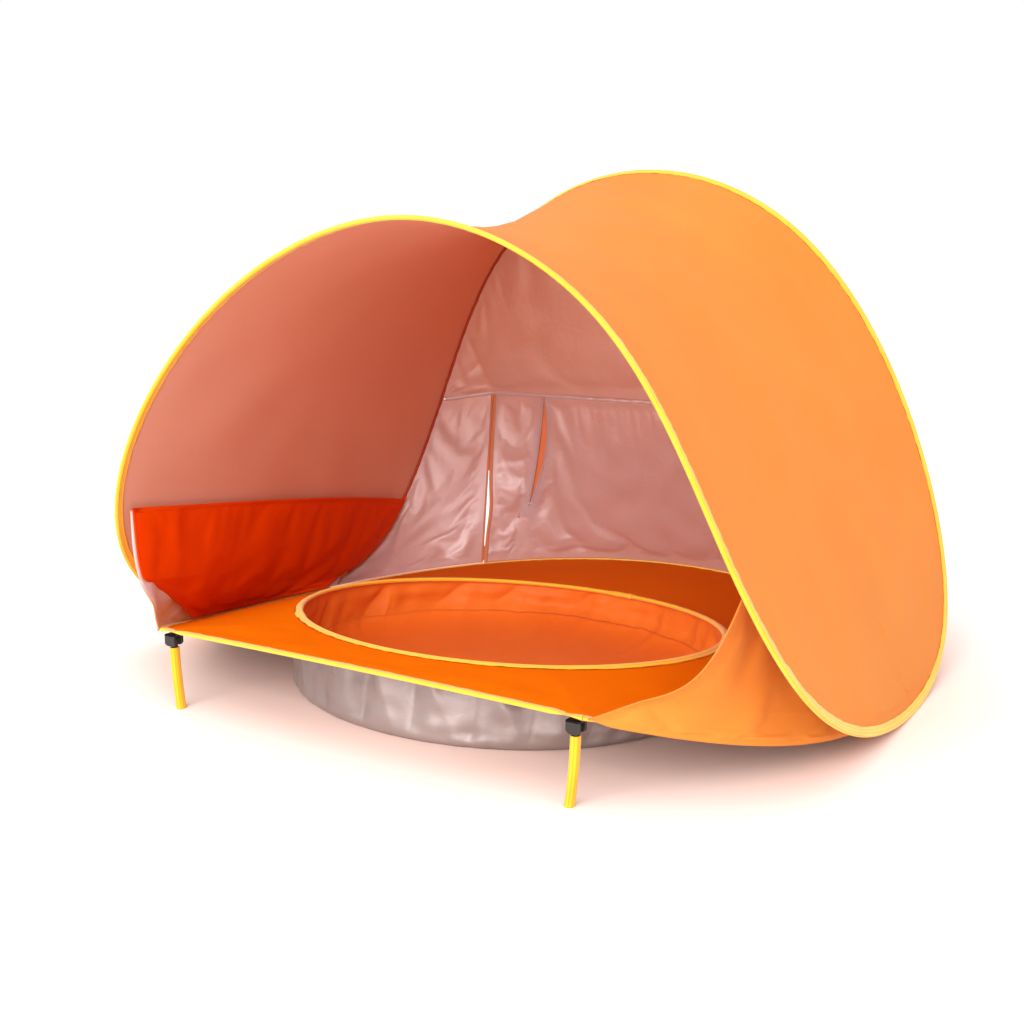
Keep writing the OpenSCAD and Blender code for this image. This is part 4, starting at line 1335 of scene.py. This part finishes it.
# ---- the clevis under each corner: two chamfered cheeks, a top plate and rounded edges ----
def clevis(name, side):
    cheek = np.array([(-9.6, 13.2), (-9.6, -3.6), (-5.4, -7.6), (5.6, -7.6), (9.6, -5.0), (9.6, 13.2)])
    top = CORNER[2] - 5.4 - PIVOT[2]
    cheek[:, 1] = np.where(cheek[:, 1] > 10, top, cheek[:, 1])
    pieces = [(cheek, -9.3, -4.9), (cheek, 4.9, 9.3),
              (np.array([(-9.6, top), (-9.6, top - 3), (9.6, top - 3), (9.6, top)]), -9.3, 9.3)]
    verts, faces = [], []
    for outline, near, far in pieces:
        start, count = len(verts), len(outline)
        verts += [PIVOT + np.array([x, y, z]) for y in (near, far) for x, z in outline]
        faces += [[start + k for k in range(count)], [start + count + k for k in range(count)][::-1]]
        faces += [[start + k, start + count + k, start + count + (k + 1) % count, start + (k + 1) % count]
                  for k in range(count)]
    verts = np.array(verts) if side > 0 else flip_x(np.array(verts))
    if side < 0:
        faces = [f[::-1] for f in faces]
    obj = new_object(name, verts, faces, [BLACK], smooth_faces=False)
    bevel = obj.modifiers.new("edge", "BEVEL")
    bevel.width, bevel.segments, bevel.limit_method = 0.8 * MM, 3, "ANGLE"
    return evaluated(obj)


for side, word in ((1, "right"), (-1, "left")):
    ride(clevis("leg_clevis_" + word, side), "shelter", ["leg_bracket_" + word])

# ---- better finishes on the CAD parts that stay ----
for name, obj in frame["nodes"].items():
    if obj.hide_render:
        continue
    if "wire" in name or "ferrule" in name or "pin" in name:
        finish = STEEL
    elif "rod" in name:
        finish = ROD
    else:
        finish = BLACK
    obj.data.materials.clear()
    obj.data.materials.append(finish)


# ---- studio ----
def light(name, kind, energy, place, turn):
    data = bpy.data.lights.new(name, kind)
    data.energy = energy
    obj = bpy.data.objects.new(name, data)
    obj.location = place
    obj.rotation_euler = [math.radians(t) for t in turn]
    scene.collection.objects.link(obj)
    return obj


def make_studio():
    mesh = bpy.data.meshes.new("studio_floor")
    half = 9.0
    mesh.from_pydata([(x * half, y * half, 0) for x, y in ((-1, -1), (1, -1), (1, 1), (-1, 1))], [],
                     [(0, 1, 2, 3)])
    stage = bpy.data.objects.new("studio_floor", mesh)
    scene.collection.objects.link(stage)
    n = Nodes("studio_paper")
    place = n.coordinates()[1]
    away = n.add("VectorMath")
    away.operation = "LENGTH"
    n.put(away.inputs[0], n.scaled(place, (1.0, 1.12, 1.0)))
    # Painted light: the floor is tinted warm orange near the shelter, standing in for the orange light that the
    # cloth throws on it; the tint shows only in the shadow, where the floor is not lit past white.
    painted_bounce_tint = n.ramp(n.math("MULTIPLY", away.outputs["Value"], 0.5),
                    [(0.27, (0.97, 0.74, 0.66, 1)), (0.47, (0.97, 0.97, 0.97, 1))])
    n.set(Base_Color=painted_bounce_tint, Roughness=0.8, Specular_IOR_Level=0.1)
    mesh.materials.append(n.material)
    world = bpy.data.worlds.new("studio")
    world.use_nodes = True
    tree = world.node_tree
    back = tree.nodes["Background"]
    path = tree.nodes.new("ShaderNodeLightPath")
    strength = tree.nodes.new("ShaderNodeMapRange")
    strength.inputs["To Min"].default_value = 0.86
    strength.inputs["To Max"].default_value = 1.0
    tree.links.new(path.outputs["Is Camera Ray"], strength.inputs["Value"])
    tree.links.new(strength.outputs[0], back.inputs["Strength"])
    back.inputs["Color"].default_value = (1, 1, 1, 1)
    scene.world = world
    key = light("soft_key", "SUN", 1.45, (0, 0, 0), (32, 14, 0))
    key.data.angle = math.radians(70)
    fill = light("front_box", "AREA", 70, (0.35, -2.9, 1.35), (72, 0, 7))
    fill.data.shape = "RECTANGLE"
    fill.data.size, fill.data.size_y = 2.6, 1.6
    fill.visible_camera = False
    scene.view_settings.view_transform = "Standard"


make_studio()
